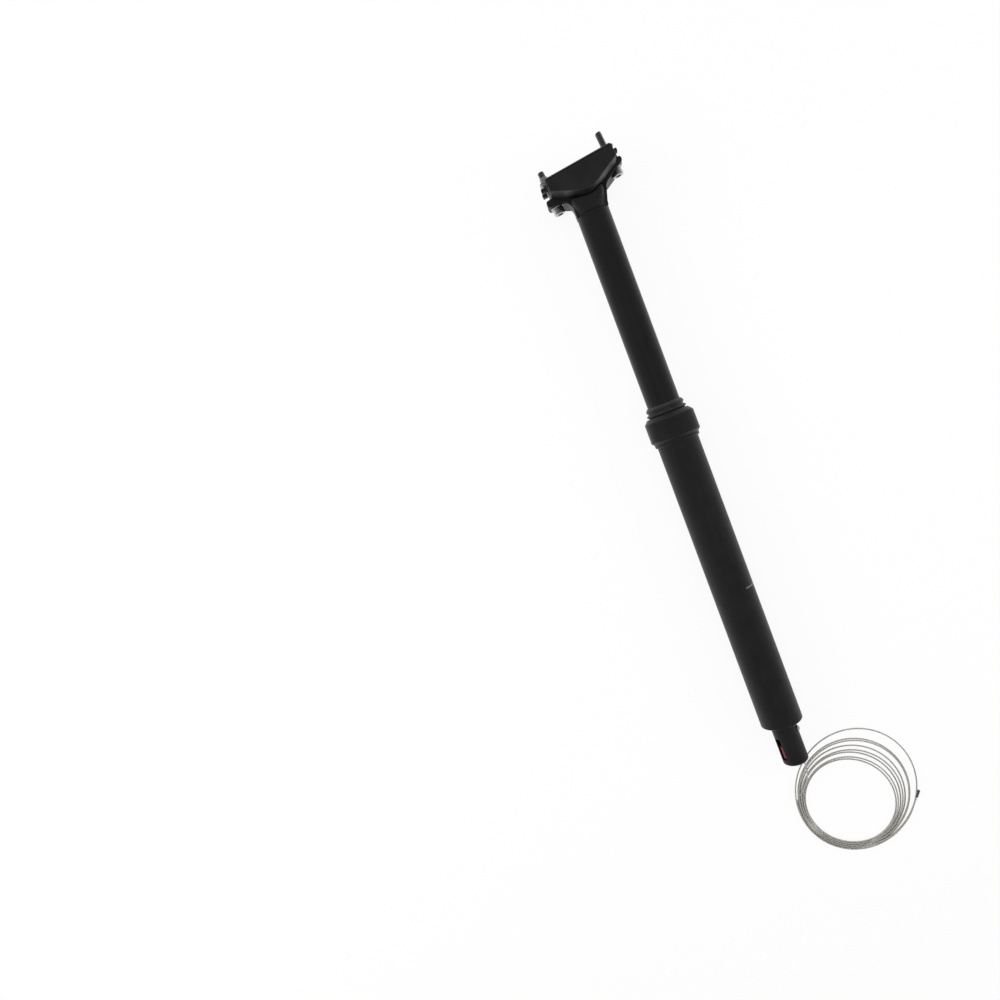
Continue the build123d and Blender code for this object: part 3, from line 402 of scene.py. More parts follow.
# %% [markdown]
# ## Steel, brass, plastic and rubber
# The bolts are bright plated steel, the barrel nuts a duller grey, and the ground rods and pins
# inside are the smoothest. The keys are brass, the bushings a filled bearing plastic, and the seals
# are black rubber with a matt bloom. The same helpers make them all, with other sizes.

# %% Metal, plastic and rubber finishes


def metal(slot, dark, light, gloss, streak, depth, stretch=(1, 1, 1)):
    """Bare or plated metal with fine streaks from how it was turned, drawn or ground."""
    material = new_finish(slot, metallic=1.0, roughness=gloss)
    shade(material, speckle(material, 2.5 * mm, detail=5), dark, light)
    vary_gloss(material, speckle(material, 1.2 * mm, detail=4), gloss - 0.06, gloss + 0.10)
    roughen(material, speckle(material, streak, detail=2, stretch=stretch), depth)


def moulded(slot, dark, light, gloss, grain, depth):
    """Moulded plastic or rubber with a fine matt skin."""
    material = new_finish(slot, metallic=0.0, roughness=gloss, specular=0.35)
    shade(material, speckle(material, 3 * mm, detail=4), dark, light)
    vary_gloss(material, speckle(material, 1.5 * mm, detail=4), gloss - 0.06, gloss + 0.08)
    roughen(material, speckle(material, grain, detail=2), depth)


metal("bolt_steel", (0.42, 0.42, 0.41), (0.60, 0.60, 0.58), 0.26, 0.2 * mm, 0.003 * mm, (1, 1, 6))
metal("nut_metal", (0.34, 0.34, 0.345), (0.44, 0.44, 0.445), 0.42, 0.25 * mm, 0.005 * mm)
metal("blackened_steel", (0.03, 0.03, 0.03), (0.05, 0.05, 0.05), 0.40, 0.2 * mm, 0.002 * mm)
metal("crimp_metal", (0.22, 0.22, 0.22), (0.34, 0.34, 0.34), 0.42, 0.3 * mm, 0.006 * mm)
metal("ground_steel", (0.52, 0.52, 0.53), (0.62, 0.62, 0.62), 0.16, 0.12 * mm, 0.001 * mm, (8, 1, 1))
metal("spring_metal", (0.46, 0.46, 0.47), (0.56, 0.56, 0.57), 0.30, 0.2 * mm, 0.002 * mm, (6, 1, 1))
metal("key_brass", (0.60, 0.40, 0.16), (0.72, 0.50, 0.22), 0.28, 0.2 * mm, 0.002 * mm, (6, 1, 1))
moulded("bush_plastic", (0.055, 0.052, 0.045), (0.085, 0.080, 0.070), 0.50, 0.3 * mm, 0.004 * mm)
moulded("seal_rubber", (0.012, 0.012, 0.012), (0.020, 0.020, 0.020), 0.40, 0.35 * mm, 0.004 * mm)
print("finishes", sorted(finishes))

# %% [markdown]
# ## Darker threads
# The bolts' heads are bright, and their threads are coloured darker. The coordinates
# are turned into those of the clamp, as they were for the mark, and the colour goes over to a darker
# one above the clamp's middle, where only threads are.

# %% Darker threads
# a darker grey for the threads, and the height over which the bolts' colour changes to it
thread_grey = (0.27, 0.27, 0.265)
thread_border = 3 * mm

bolt = finishes["bolt_steel"]
on_clamp = coordinates_in(bolt, clamp_frame)
# the bolts' colour turns darker above the clamp's middle, over the threads
paint_over(bolt, rescale(bolt, on_clamp["Z"], 0, thread_border), thread_grey)
print("threads darkened from", round(thread_border / mm, 1), "mm above the clamp's middle")

# %% [markdown]
# ## Cable steel
# The inner cable is wound from thin steel wires. Its wires are modelled below, and each point of the
# mesh carries a number that is 1 in the valley between two wires. The finish has painted shade
# there, darker in the valleys, and a lighter colour on the crowns.

# %% Finish of the cable
cable_steel = new_finish("cable_steel", metallic=0.5, roughness=0.38)
groove_shade = add_node(cable_steel, "ShaderNodeAttribute", attribute_name="groove_shade")
# painted shade: the valleys between the wires are coloured darker, the crowns lighter
shade(cable_steel, groove_shade.outputs["Fac"], (0.62, 0.605, 0.56), (0.44, 0.43, 0.39), 0.1, 0.9)
vary_gloss(cable_steel, speckle(cable_steel, 2 * mm, detail=4), 0.32, 0.45)

# %% [markdown]
# ## Finish every piece of the frame
# Each piece of the frame that stays in view takes its finish in its own material slot. Its mesh is
# left as it is. The table says which pieces share a finish.

# %% Give the frame's pieces their finishes
nodes_of_finish = {
    "outer_anodised": ["outer_tube"],
    "stanchion_anodised": ["inner_tube"],
    "collar_anodised": ["collar"],
    "clamp_anodised": ["saddle_head", "lower_cradle", "upper_clamp", "base_housing"],
    "lever_anodised": ["actuator_lever"],
    "bolt_steel": ["front_clamp_bolt", "rear_clamp_bolt", "clamp_washers", "base_lock_screw"],
    "nut_metal": ["front_barrel_nut", "rear_barrel_nut"],
    "cable_steel": ["inner_cable_run", "inner_cable_coil", "cable_barrel"],
    "crimp_metal": ["cable_end_crimp"],
    "ground_steel": ["gas_spring_rod", "valve_pin", "lever_pivot_pin", "valve_spring"],
    "spring_metal": ["gas_spring_cylinder", "gas_spring_piston", "rod_gland", "floating_piston",
                     "cylinder_cap"],
    "key_brass": ["anti_rotation_keys"],
    "bush_plastic": ["upper_bushing", "lower_bushing"],
    "seal_rubber": ["wiper_seal", "collar_oring", "gland_seal", "piston_ring",
                    "floating_piston_ring", "bottom_bumper"],
}
for slot, names in nodes_of_finish.items():
    for name in names:
        piece = frame["nodes"][name]
        piece.data.materials.clear()
        piece.data.materials.append(finishes[slot])
pin = frame["nodes"]["lever_pivot_pin"]
pin.data.materials[0] = finishes["blackened_steel"]
print("finished", sum(len(names) for names in nodes_of_finish.values()), "pieces of the frame")

# %% [markdown]
# ## The route of the inner cable
# The cable leaves the base straight down its axis, sinks to the ground in one easy curve and runs
# into a loose coil of eight and a half loops. The loops lie close together on one side and fan out on
# the other, because a springy steel cable opens where nothing holds it. Four loops lie on the ground,
# each a little smaller than the last, the cable climbs over them, and four more open out again.
# A NURBS curve of order 3 runs smoothly inside its control points. Where the points stand evenly
# round a circle, a little outside it, the curve follows that circle.

# %% Points along the cable's run
cable_radius = 0.55 * mm
anchor_back = 5.4 * mm
barrel_foot = post_frame @ Vector((-anchor_back, 0, 15.7 * mm))
in_hole = post_frame @ Vector((-5.45 * mm, 0, 5.05 * mm))
out_of_hole = post_frame @ Vector((-5.35 * mm, 0, -4.0 * mm))
run_down = [(-13.0, -4.9, 12.0), (-21.0, -2.4, 7.6), (-29.0, 2.2, 3.2)]
route = [barrel_foot, in_hole, out_of_hole]
route += [Vector((post_foot.x + x * mm, y * mm, z * mm)) for x, y, z in run_down]

# %% [markdown]
# ## The loops of the coil
# Each half turn is an arc about its own middle on the line along which the loops fan out. The close
# side of a loop and its spread side give the arc's size, so two short rules, one for each side, draw
# the whole coil. A larger loop is a little narrower than it is long, as a hand-wound coil is. The half
# turn that climbs to the second layer also rises, slowly at both ends.

# %% Points round the coil
fan_angle = radians(-40.4)
fan = Vector((cos(fan_angle), sin(fan_angle), 0))
across = Vector((-fan.y, fan.x, 0))
coil_middle = Vector((post_foot.x - 42.7 * mm, -39.7 * mm, cable_radius)) + across * 5.0 * mm
layer_rise = 1.6 * mm
points_per_turn = 16
loops_in = 4
loops_out = 4
first_close = 49.2 * mm
inner_close = 43.6 * mm
last_close = 49.4 * mm
close_step = 1.35 * mm
first_spread = 39.0 * mm
inner_spread = 24.0 * mm
spread_step = 5.8 * mm
opening_step = 5.0 * mm
opening_growth = 1.0 * mm
small_length = 30.8 * mm
small_width = 32.6 * mm
width_share = 0.64


def close_side(turn):
    """Where the close side of a loop lies before the coil's middle."""
    if turn < loops_in:
        return first_close - close_step * turn
    if turn < loops_in + loops_out:
        return inner_close + close_step * (turn - loops_in)
    return last_close


def spread_side(turn):
    """Where the spread side of a loop lies behind the coil's middle."""
    if turn < loops_in:
        return first_spread - spread_step * turn
    step = turn - loops_in
    return inner_spread + opening_step * step + opening_growth * step * step


def half_width(radius):
    """Half the width of a loop across the fan's line, for half its length along it."""
    return small_width + (radius - small_length) * width_share


def on_coil(radius, middle, angle, height, swell=1.0):
    """A point on an arc about a place on the fan's line, or a little outside the arc."""
    sideward = across * (half_width(radius) * swell * cos(angle))
    along_fan = fan * (middle - radius * swell * sin(angle))
    return coil_middle + sideward + along_fan + Vector((0, 0, height))


def heading_of(radius, angle):
    """The direction in which the cable runs at an angle round a loop."""
    return (-across * (half_width(radius) * sin(angle)) - fan * (radius * cos(angle))).normalized()


def bend(radius, middle, start, end, low=0.0, high=0.0):
    """Control points round an arc, just outside it, which rise smoothly from low to high."""
    count = ceil(round((end - start) / 360 * points_per_turn, 6))
    step = radians(end - start) / count
    points = []
    for index in range(count):
        share = (index + 0.5) / count
        height = low + (high - low) * share * share * (3 - 2 * share)
        angle = radians(start) + step * (index + 0.5)
        points.append(on_coil(radius, middle, angle, height, 1 / cos(step / 2)))
    return points


first_radius = 43.5 * mm
first_middle = first_radius - close_side(0)
first_angle = 40
coil_start = on_coil(first_radius, first_middle, radians(first_angle), 0)
lead_in = heading_of(first_radius, radians(first_angle)) * 8 * mm
route += [coil_start - lead_in, coil_start - lead_in / 7]
route += bend(first_radius, first_middle, first_angle, 90)
height = 0.0
for turn in range(loops_in + loops_out):
    close, spread = close_side(turn), spread_side(turn)
    route += bend((close + spread) / 2, (spread - close) / 2, 90, 270, height, height)
    close = close_side(turn + 1)
    next_height = layer_rise if turn >= loops_in - 1 else 0.0
    route += bend((close + spread) / 2, (spread - close) / 2, 270, 450, height, next_height)
    height = next_height

last_radius = 48.2 * mm
last_middle = last_radius - close_side(loops_in + loops_out)
last_angle = 185
tail_heading = heading_of(last_radius, radians(last_angle))
tail_start = on_coil(last_radius, last_middle, radians(last_angle), height)
tail_end = tail_start + tail_heading * 8 * mm
route += bend(last_radius, last_middle, 90, last_angle, height, height)
route += [tail_start + tail_heading * 4 * mm, tail_end]
print("control points of the cable", len(route))

# %% [markdown]
# ## The cable as a wound strand
# The curve gives the line. Round it goes a tube whose section has twelve rounded wires, and the
# section turns once in each ten millimetres, as the outer layer of a real strand does. The section is
# carried along the line without twisting, and the lay's own twist is then added by length.

# %% Line of the cable
curve = bpy.data.curves.new("cable_route", "CURVE")
curve.dimensions = "3D"
spline = curve.splines.new("NURBS")
spline.points.add(len(route) - 1)
for control, point in zip(spline.points, route):
    control.co = (*point, 1)
spline.order_u = 3
spline.use_endpoint_u = True
spline.resolution_u = 20
route_object = bpy.data.objects.new("cable_route", curve)
bpy.context.scene.collection.objects.link(route_object)
line = bpy.data.meshes.new_from_object(route_object)
cable_line = [vertex.co.copy() for vertex in line.vertices]
bpy.data.objects.remove(route_object)

# %% Strand round the line
wire_count = 12
lay_length = 10 * mm
valley_depth = 0.07 * mm


def strand_section(normal, side, twist):
    """The crowns and valleys of the outer wires, as offsets from the line."""
    offsets = []
    for index in range(wire_count * 2):
        angle = twist + pi * index / wire_count
        radius = cable_radius - (valley_depth if index % 2 else 0)
        offsets.append((normal * cos(angle) + side * sin(angle)) * radius)
    return offsets


def wound_strand(name, points):
    """A mesh tube of wires along a line of points."""
    vertices = []
    along = 0.0
    tangent = (points[1] - points[0]).normalized()
    normal = tangent.orthogonal().normalized()
    for index, point in enumerate(points):
        ahead = points[min(index + 1, len(points) - 1)]
        behind = points[max(index - 1, 0)]
        turned = (ahead - behind).normalized()
        normal = tangent.rotation_difference(turned) @ normal
        normal = (normal - turned * normal.dot(turned)).normalized()
        tangent = turned
        if index:
            along += (point - behind).length
        twist = 2 * pi * along / lay_length
        vertices += [point + offset for offset in strand_section(normal, tangent.cross(normal), twist)]
    around = wire_count * 2
    faces = []
    for ring in range(len(points) - 1):
        for index in range(around):
            after = (index + 1) % around
            low, high = ring * around, (ring + 1) * around
            faces.append((low + index, low + after, high + after, high + index))
    faces.append(tuple(reversed(range(around))))
    faces.append(tuple(range(len(vertices) - around, len(vertices))))
    mesh = bpy.data.meshes.new(name)
    mesh.from_pydata(vertices, [], faces)
    mesh.update()
    # the mask for the painted shade: 1 in the valleys between wires, 0 on the crowns
    groove_shade = mesh.attributes.new("groove_shade", "FLOAT", "POINT")
    for index, value in enumerate(groove_shade.data):
        value.value = index % 2
    piece = bpy.data.objects.new(name, mesh)
    bpy.context.scene.collection.objects.link(piece)
    return piece


inner_cable = wound_strand("inner_cable", cable_line)
pick(inner_cable)
bpy.ops.object.shade_smooth()
finish_piece(inner_cable, "inner_cable", in_place, "outer", "cable_steel", "inner_cable_run",
             "inner_cable_coil")

# %% [markdown]
# ## Turning on a lathe
# Many pieces of the post were turned on a lathe, and the same can be done here. One vertex is
# extruded from point to point of the piece's outline, its corners are rounded by bevelling the
# vertices, and the outline is spun round the upright axis. The seam is merged and the faces are
# turned outwards.

# %% A lathe


def draw_outline(name, radius, height, steps):
    """Draw an outline in edit mode: one vertex at a place, extruded outwards and upwards by steps."""
    bpy.ops.object.select_all(action="DESELECT")
    bpy.ops.mesh.primitive_plane_add(size=mm)
    piece = bpy.context.active_object
    piece.name = name
    bpy.ops.object.mode_set(mode="EDIT")
    bpy.ops.mesh.select_mode(type="VERT")
    bpy.ops.mesh.select_all(action="SELECT")
    bpy.ops.mesh.merge(type="CENTER")
    bpy.ops.transform.translate(value=(radius, 0, height))
    for outwards, upwards in steps:
        step = (outwards, 0, upwards)
        bpy.ops.mesh.extrude_region_move(TRANSFORM_OT_translate={"value": step})
    return piece


def lathe(name, outline, steps=96, rounding=0.0, segments=3):
    """Spin an outline of (radius, height) points, its corners rounded, into a turned piece."""
    moves = [(after[0] - point[0], after[1] - point[1]) for point, after in zip(outline, outline[1:])]
    piece = draw_outline(name, *outline[0], moves)
    bpy.ops.mesh.select_all(action="SELECT")
    bpy.ops.mesh.remove_doubles(threshold=0.002 * mm)
    if rounding:
        select_points(piece, lambda place: place.x > 0.01 * mm)
        bpy.ops.mesh.bevel(offset=rounding, segments=segments, affect="VERTICES")
    bpy.ops.mesh.select_all(action="SELECT")
    bpy.ops.mesh.spin(steps=steps, angle=2 * pi, center=(0, 0, 0), axis=(0, 0, 1))
    close_edit()
    tidy_mesh(piece)
    smooth(piece)
    return piece


# %% [markdown]
# ## The wiper
# The wiper is a rubber seal that scrapes dirt from the inner tube as it goes down. Its two lips show
# as two thin light rings above the collar. Its outline starts from the frame's own piece, and all of
# its corners are rounded, because moulded rubber has no sharp ones.

# %% Wiper with two lips
low, high = extent("wiper_seal", post_frame)
tube_radius = extent("inner_tube", post_frame)[1].x
wiper_top = high.z
root_low = low.z
lip_radius = high.x
collar_top = extent("collar", post_frame)[1].z
root_radius = tube_radius + 1.9 * mm
bore_radius = tube_radius + 0.05 * mm
waist_radius = tube_radius + 1.2 * mm
wiper_outline = [
    (bore_radius, root_low),
    (root_radius, root_low),
    (root_radius, collar_top),
    (waist_radius, collar_top + 0.5 * mm),
    (lip_radius, collar_top + 1.1 * mm),
    (lip_radius, collar_top + 2.4 * mm),
    (waist_radius, collar_top + 3.1 * mm),
    (waist_radius, collar_top + 4.1 * mm),
    (lip_radius - 0.6 * mm, collar_top + 4.7 * mm),
    (lip_radius - 0.6 * mm, collar_top + 5.9 * mm),
    (bore_radius + 0.6 * mm, wiper_top),
    (bore_radius, wiper_top - 0.2 * mm),
    (bore_radius, root_low),
]
wiper = lathe("wiper_lips", wiper_outline, steps=128, rounding=0.28 * mm)
finish_piece(wiper, "wiper_lips", post_frame, "outer", "seal_rubber", "wiper_seal")

# %% [markdown]
# ## The collar
# The collar screws over the top of the outer tube and is tightened by hand, so it has six wide,
# shallow flutes for the fingers, a large chamfer at its top and a narrower ring at its foot. It is
# turned first, and then each flute is pressed in: points round the flute move inwards by an amount
# that is greatest at its middle and fades to nothing at its edges.

# %% Fluted collar
low, high = extent("collar", post_frame)
tube_outer = extent("outer_tube", post_frame)[1].x
collar_low = low.z
collar_radius = high.x
ring_radius = tube_outer + 1.4 * mm
ring_top = collar_low + 3.0 * mm
wall_low = ring_top + 2.2 * mm
wall_high = collar_top - 3.4 * mm
thread_radius = tube_outer - 0.5 * mm
tube_top = extent("outer_tube", post_frame)[1].z
throat_radius = tube_radius + 0.4 * mm
flute_count = 6
flute_depth = 0.55 * mm
flute_low = ring_top + 0.4 * mm
flute_high = collar_top - 0.4 * mm
flute_border = 3.6 * mm
ring_count = 20
flute_rings = [
    flute_low + (flute_high - flute_low) * ring / ring_count for ring in range(ring_count + 1)
]
collar_outline = [
    (thread_radius, collar_low),
    (ring_radius - 0.9 * mm, collar_low),
    (ring_radius, collar_low + 0.9 * mm),
    (ring_radius, ring_top),
    (collar_radius, wall_low),
    (collar_radius, wall_high),
    (collar_radius - 3.7 * mm, collar_top),
    (root_radius, collar_top),
    (root_radius, root_low),
    (throat_radius, root_low),
    (throat_radius, tube_top),
    (thread_radius, tube_top),
    (thread_radius, collar_low),
]


def cut_rings(piece, heights):
    """Cut a piece level at some heights, so that it has a ring of vertices at each."""
    edit(piece)
    for height in heights:
        bpy.ops.mesh.select_all(action="SELECT")
        bpy.ops.mesh.bisect(plane_co=(0, 0, height), plane_no=(0, 0, 1))
    close_edit()


def fade(value, low, high, soft):
    """1 between low and high, falling smoothly to 0 over a soft border inside them."""
    share = max(0.0, min(1.0, (value - low) / soft, (high - value) / soft))
    return share * share * (3 - 2 * share)


collar = lathe("fluted_collar", collar_outline, steps=180, rounding=0.35 * mm, segments=4)
cut_rings(collar, flute_rings)
for vertex in collar.data.vertices:
    radius = vertex.co.xy.length
    if radius > thread_radius + 0.3 * mm:
        turn = Vector((1, 0)).angle_signed(vertex.co.xy)
        wave = 0.5 + 0.5 * cos(flute_count * turn)
        pressed = flute_depth * wave * fade(vertex.co.z, flute_low, flute_high, flute_border)
        vertex.co.xy *= 1 - pressed / radius
smooth(collar, 50)
finish_piece(collar, "fluted_collar", post_frame, "outer", "collar_anodised", "collar")

# %% [markdown]
# ## Threads
# A thread is one small outline that climbs as it turns, which is what Blender's Screw modifier does.
# The outline is two slopes with a narrow flat at root and crown. The screw runs a little too far at
# both ends, is cut off square by two planes that also close it, and its tip is drawn in, as the first
# turn of a real thread is.

# %% A threaded shank


def threaded_shank(name, radius, pitch, low, high, steps=20):
    """A closed threaded rod from low to high on the upright axis."""
    root = radius - 0.6 * pitch
    turns = ceil((high - low) / pitch) + 2
    outline = [(root, 0), (root, 0.14), (radius, 0.5), (radius, 0.64), (root, 1.0)]
    moves = [(reach - before[0], (share - before[1]) * pitch)
             for before, (reach, share) in zip(outline, outline[1:])]
    shank = draw_outline(name, root, low - 2 * pitch, moves)
    close_edit()
    apply_modifier(shank, "SCREW", screw_offset=pitch, iterations=turns + 1, steps=steps,
                   render_steps=steps, use_merge_vertices=True, merge_threshold=0.002 * mm)
    tidy_mesh(shank)
    edit(shank)
    for height, below in ((low, True), (high, False)):
        bpy.ops.mesh.select_all(action="SELECT")
        bpy.ops.mesh.bisect(plane_co=(0, 0, height), plane_no=(0, 0, 1), use_fill=True,
                            clear_inner=below, clear_outer=not below)
    select_points(shank, lambda place: place.z > high - 0.45 * mm)
    bpy.ops.transform.resize(value=(0.84, 0.84, 1))
    close_edit()
    tidy_mesh(shank)
    return shank


# %% [markdown]
# ## Sockets
# A bolt's socket is cut with a hexagonal bar, by the Boolean modifier. The bar is a cylinder with six
# sides, which is taken away again once it has cut.

# %% Cutting and joining


def hexagon_bar(across_flats, low, high):
    """A six-sided bar on the upright axis, to cut with."""
    bpy.ops.object.select_all(action="DESELECT")
    across_corners = across_flats / cos(pi / 6)
    bpy.ops.mesh.primitive_cylinder_add(vertices=6, radius=across_corners / 2, depth=high - low,
                                        location=(0, 0, (low + high) / 2))
    piece = bpy.context.active_object
    apply_place(piece)
    return piece


def combine(piece, other, operation):
    """Join another piece to this one, or cut it out, and remove the other."""
    apply_modifier(piece, "BOOLEAN", object=other, operation=operation, solver="EXACT")
    bpy.data.objects.remove(other)


# %% [markdown]
# ## The clamp bolts
# Two M5 socket screws tilt and hold the saddle. Each has a turned head with rounded rims, a hexagon
# socket with a small countersink, and a thread that runs up through the washer, the ear of the head
# and the nut, and stands out above it. The rear one stands out a little less than its room allows.

# %% Two clamp bolts
head_height = 5.0 * mm
bolt_pitch = 0.8 * mm
bolt_radius = 2.5 * mm
socket_across = 4.0 * mm
socket_depth = 2.6 * mm


def clamp_bolt(name, node, body, shorter=0.0):
    """A socket screw that fits its piece in the frame, its tip a little shorter where asked."""
    low, high = extent(node, clamp_frame)
    radius = (high.x - low.x) / 2
    middle = (low.x + high.x) / 2
    seat = low.z + head_height
    rim = 0.55 * mm
    outline = [
        (0, low.z + 0.1 * mm),
        (socket_across * 0.55, low.z + 0.1 * mm),
        (socket_across * 0.66, low.z),
        (radius - rim, low.z),
        (radius, low.z + rim),
        (radius, seat - 0.25 * mm),
        (radius - 0.25 * mm, seat),
        (0, seat),
    ]
    bolt = lathe(name, outline, steps=72, rounding=0.16 * mm)
    combine(bolt, hexagon_bar(socket_across, low.z - mm, low.z + socket_depth), "DIFFERENCE")
    tip = high.z - shorter
    shank = threaded_shank(name + "_thread", bolt_radius, bolt_pitch, seat - 0.6 * mm, tip)
    combine(bolt, shank, "UNION")
    tidy_mesh(bolt)
    smooth(bolt, 32)
    bolt.location.x = middle
    bolt.location.y = (low.y + high.y) / 2
    bpy.context.view_layer.update()
    finish_piece(bolt, name, clamp_frame, body, "bolt_steel", node)


clamp_bolt("front_socket_bolt", "front_clamp_bolt", "slider")
clamp_bolt("rear_socket_bolt", "rear_clamp_bolt", "slider", shorter=4.4 * mm)

# %% [markdown]
# ## The barrel nuts
# Each bolt screws into a barrel nut: a short bar of grey plated steel that lies across the forked end
# of the upper clamp and rolls in it as the saddle tilts. The bar is turned and then milled flat on
# top, so that little of it stands above the clamp. The front one keeps a round neck for more thread.
# The hole for the bolt is drilled through last.

# %% Two barrel nuts
lying_down = Matrix.Rotation(radians(90), 4, "X")
bar_height = 2.6 * mm
neck_radius = 3.1 * mm


def barrel_nut(name, node, body, neck_height):
    """A turned bar, flat on top, with a neck and a hole across it, at its piece's place."""
    low, high = extent(node, clamp_frame)
    radius = (high.x - low.x) / 2
    half = (high.y - low.y) / 2
    middle = (low + high) / 2
    rim = 0.8 * mm
    outline = [
        (0, -half),
        (radius - rim, -half),
        (radius, rim - half),
        (radius, half - rim),
        (radius - rim, half),
        (0, half),
    ]
    nut = lathe(name, outline, steps=80, rounding=0.22 * mm)
    nut.matrix_world = lying_down
    apply_place(nut)
    flat = bar_height - radius
    edit(nut)
    bpy.ops.mesh.select_all(action="SELECT")
    bpy.ops.mesh.bisect(plane_co=(0, 0, flat), plane_no=(0, 0, 1), use_fill=True, clear_outer=True)
    close_edit()
    if neck_height:
        foot = flat - 0.8 * mm
        top = neck_height - radius
        neck_outline = [
            (0, foot),
            (neck_radius, foot),
            (neck_radius, top - 0.5 * mm),
            (neck_radius - 0.5 * mm, top),
            (0, top),
        ]
        neck = lathe(name + "_neck", neck_outline, steps=48, rounding=0.15 * mm)
        combine(nut, neck, "UNION")
    bpy.ops.object.select_all(action="DESELECT")
    bpy.ops.mesh.primitive_cylinder_add(vertices=48, radius=bolt_radius + 0.05 * mm, depth=radius * 3)
    combine(nut, bpy.context.active_object, "DIFFERENCE")
    tidy_mesh(nut)
    smooth(nut, 32)
    nut.location = middle
    bpy.context.view_layer.update()
    finish_piece(nut, name, clamp_frame, body, "nut_metal", node)


barrel_nut("front_cross_nut", "front_barrel_nut", "front_nut", neck_height=9.0 * mm)
barrel_nut("rear_cross_nut", "rear_barrel_nut", "rear_nut", neck_height=0)

# %% [markdown]
# ## Washers
# A hard washer spreads the load of each bolt's head on its ear. One is turned at the front, and a copy
# with its own mesh is moved to the rear. The two are joined, because the frame has them as one piece.

# %% Two washers
low, high = extent("clamp_washers", clamp_frame, lambda point: point.x > 0)
rear_low, rear_high = extent("clamp_washers", clamp_frame, lambda point: point.x < 0)
washer_radius = (high.x - low.x) / 2
washer_height = high.z - low.z
hole_radius = bolt_radius + 0.2 * mm
washer_outline = [
    (hole_radius, 0),
    (washer_radius - 0.3 * mm, 0),
    (washer_radius, 0.3 * mm),
    (washer_radius, washer_height),
    (hole_radius, washer_height),
    (hole_radius, 0),
]
washer = lathe("front_washer", washer_outline, steps=64, rounding=0.08 * mm)
second = washer.copy()
second.data = washer.data.copy()
bpy.context.scene.collection.objects.link(second)
washer.location = ((low.x + high.x) / 2, 0, low.z)
second.location = ((rear_low.x + rear_high.x) / 2, 0, rear_low.z)
apply_place(washer)
apply_place(second)
pick(washer)
second.select_set(True)
bpy.ops.object.join()
finish_piece(washer, "bolt_washers", clamp_frame, "slider", "bolt_steel", "clamp_washers")

# %% [markdown]
# ## The lock screw of the base
# A small silver button screw goes in through the side of the base and holds the gas spring's rod. Its
# axis points outwards, so it gets a standing frame of its own, and in that frame it is turned like the
# bolts and its socket is cut with a smaller bar.

# %% Lock screw
low, high = extent("base_lock_screw", post_frame)
screw_turn = radians(158)
screw_out = post_frame.to_3x3() @ Vector((cos(screw_turn), sin(screw_turn), 0))
screw_foot = post_frame @ Vector((0, 0, (low.z + high.z) / 2))
screw_frame = standing_frame(screw_foot, post_up, screw_out)
low, high = extent("base_lock_screw", screw_frame)
screw_radius = (high.y - low.y) / 2
screw_seat = high.z - 1.5 * mm
screw_outline = [
    (0, low.z),
    (1.2 * mm, low.z),
    (1.5 * mm, low.z + 0.3 * mm),
    (1.5 * mm, screw_seat),
    (screw_radius, screw_seat),
    (screw_radius, high.z - 0.5 * mm),
    (screw_radius - 0.5 * mm, high.z),
    (0, high.z),
]
screw = lathe("button_screw", screw_outline, steps=48, rounding=0.12 * mm)
combine(screw, hexagon_bar(2 * mm, high.z - 1.0 * mm, high.z + mm), "DIFFERENCE")
tidy_mesh(screw)
smooth(screw, 32)
finish_piece(screw, "button_screw", screw_frame, "outer", "bolt_steel", "base_lock_screw")

# %% [markdown]
# ## The crimp on the cable's end
# A soft metal cap is squeezed over the end of the cable so that its wires don't fray. It is turned as
# a plain cap, ringed with cuts, and then pressed flat in two places, as pliers leave it.

# %% Crimp
crimp_radius = 1.1 * mm
crimp_length = 6.0 * mm
first_cut = 0.8 * mm
cut_step = 0.25 * mm
cut_count = 17
dents = (1.9 * mm, 3.7 * mm)
dent_reach = 0.8 * mm
dent_share = 0.34
crimp_frame = standing_frame(tail_end, Vector((0, 0, 1)), tail_heading)
crimp_outline = [
    (0, 0),
    (crimp_radius - 0.3 * mm, 0),
    (crimp_radius, 0.3 * mm),
    (crimp_radius, crimp_length - 0.4 * mm),
    (crimp_radius - 0.4 * mm, crimp_length),
    (0, crimp_length),
]
crimp = lathe("cable_crimp", crimp_outline, steps=32, rounding=0.1 * mm)
cut_rings(crimp, [first_cut + cut_step * ring for ring in range(cut_count)])
for vertex in crimp.data.vertices:
    for dent in dents:
        depth = fade(vertex.co.z, dent - dent_reach, dent + dent_reach, dent_reach)
        vertex.co.y *= 1 - dent_share * depth
smooth(crimp, 40)
finish_piece(crimp, "cable_crimp", crimp_frame, "outer", "crimp_metal", "cable_end_crimp")

# %% [markdown]
# ## The valve's spring
# A small coil spring closes the gas spring's valve, and shortens from below when the lever lifts the
# valve's pin. A ring the size of its wire is screwed upwards, and the two open ends are filled.

# %% Valve spring
low, high = extent("valve_spring", post_frame)
spring_wire = 0.28 * mm
spring_radius = high.x - spring_wire
spring_turns = 6
spring_pitch = (high.z - low.z - 2 * spring_wire) / spring_turns
bpy.ops.object.select_all(action="DESELECT")
bpy.ops.mesh.primitive_circle_add(vertices=12, radius=spring_wire, location=(
    spring_radius, 0, low.z + spring_wire), rotation=(pi / 2, 0, 0))
spring = bpy.context.active_object
apply_place(spring)
apply_modifier(spring, "SCREW", screw_offset=spring_pitch, iterations=spring_turns, steps=28,
               render_steps=28)
edit(spring, "VERT")
bpy.ops.mesh.select_non_manifold()
bpy.ops.mesh.fill_holes(sides=0)
close_edit()
tidy_mesh(spring)
smooth(spring, 40)
finish_piece(spring, "wound_spring", post_frame, "outer", "ground_steel", "valve_spring")
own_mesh(spring)

# %% [markdown]
# ## Forged and machined aluminium
# The head, the cradle, the upper clamp and the base are forged or milled, with every edge broken.
# Their exact shapes are in the frame, so a copy of each is the start. The copy's loose triangles are
# merged, its surface is rebuilt as a fine even grid by the Remesh modifier, and the Smooth modifier
# then melts the edges to the small radius of a tumbled part. The flat faces stay flat.

# %% A softened copy of a piece


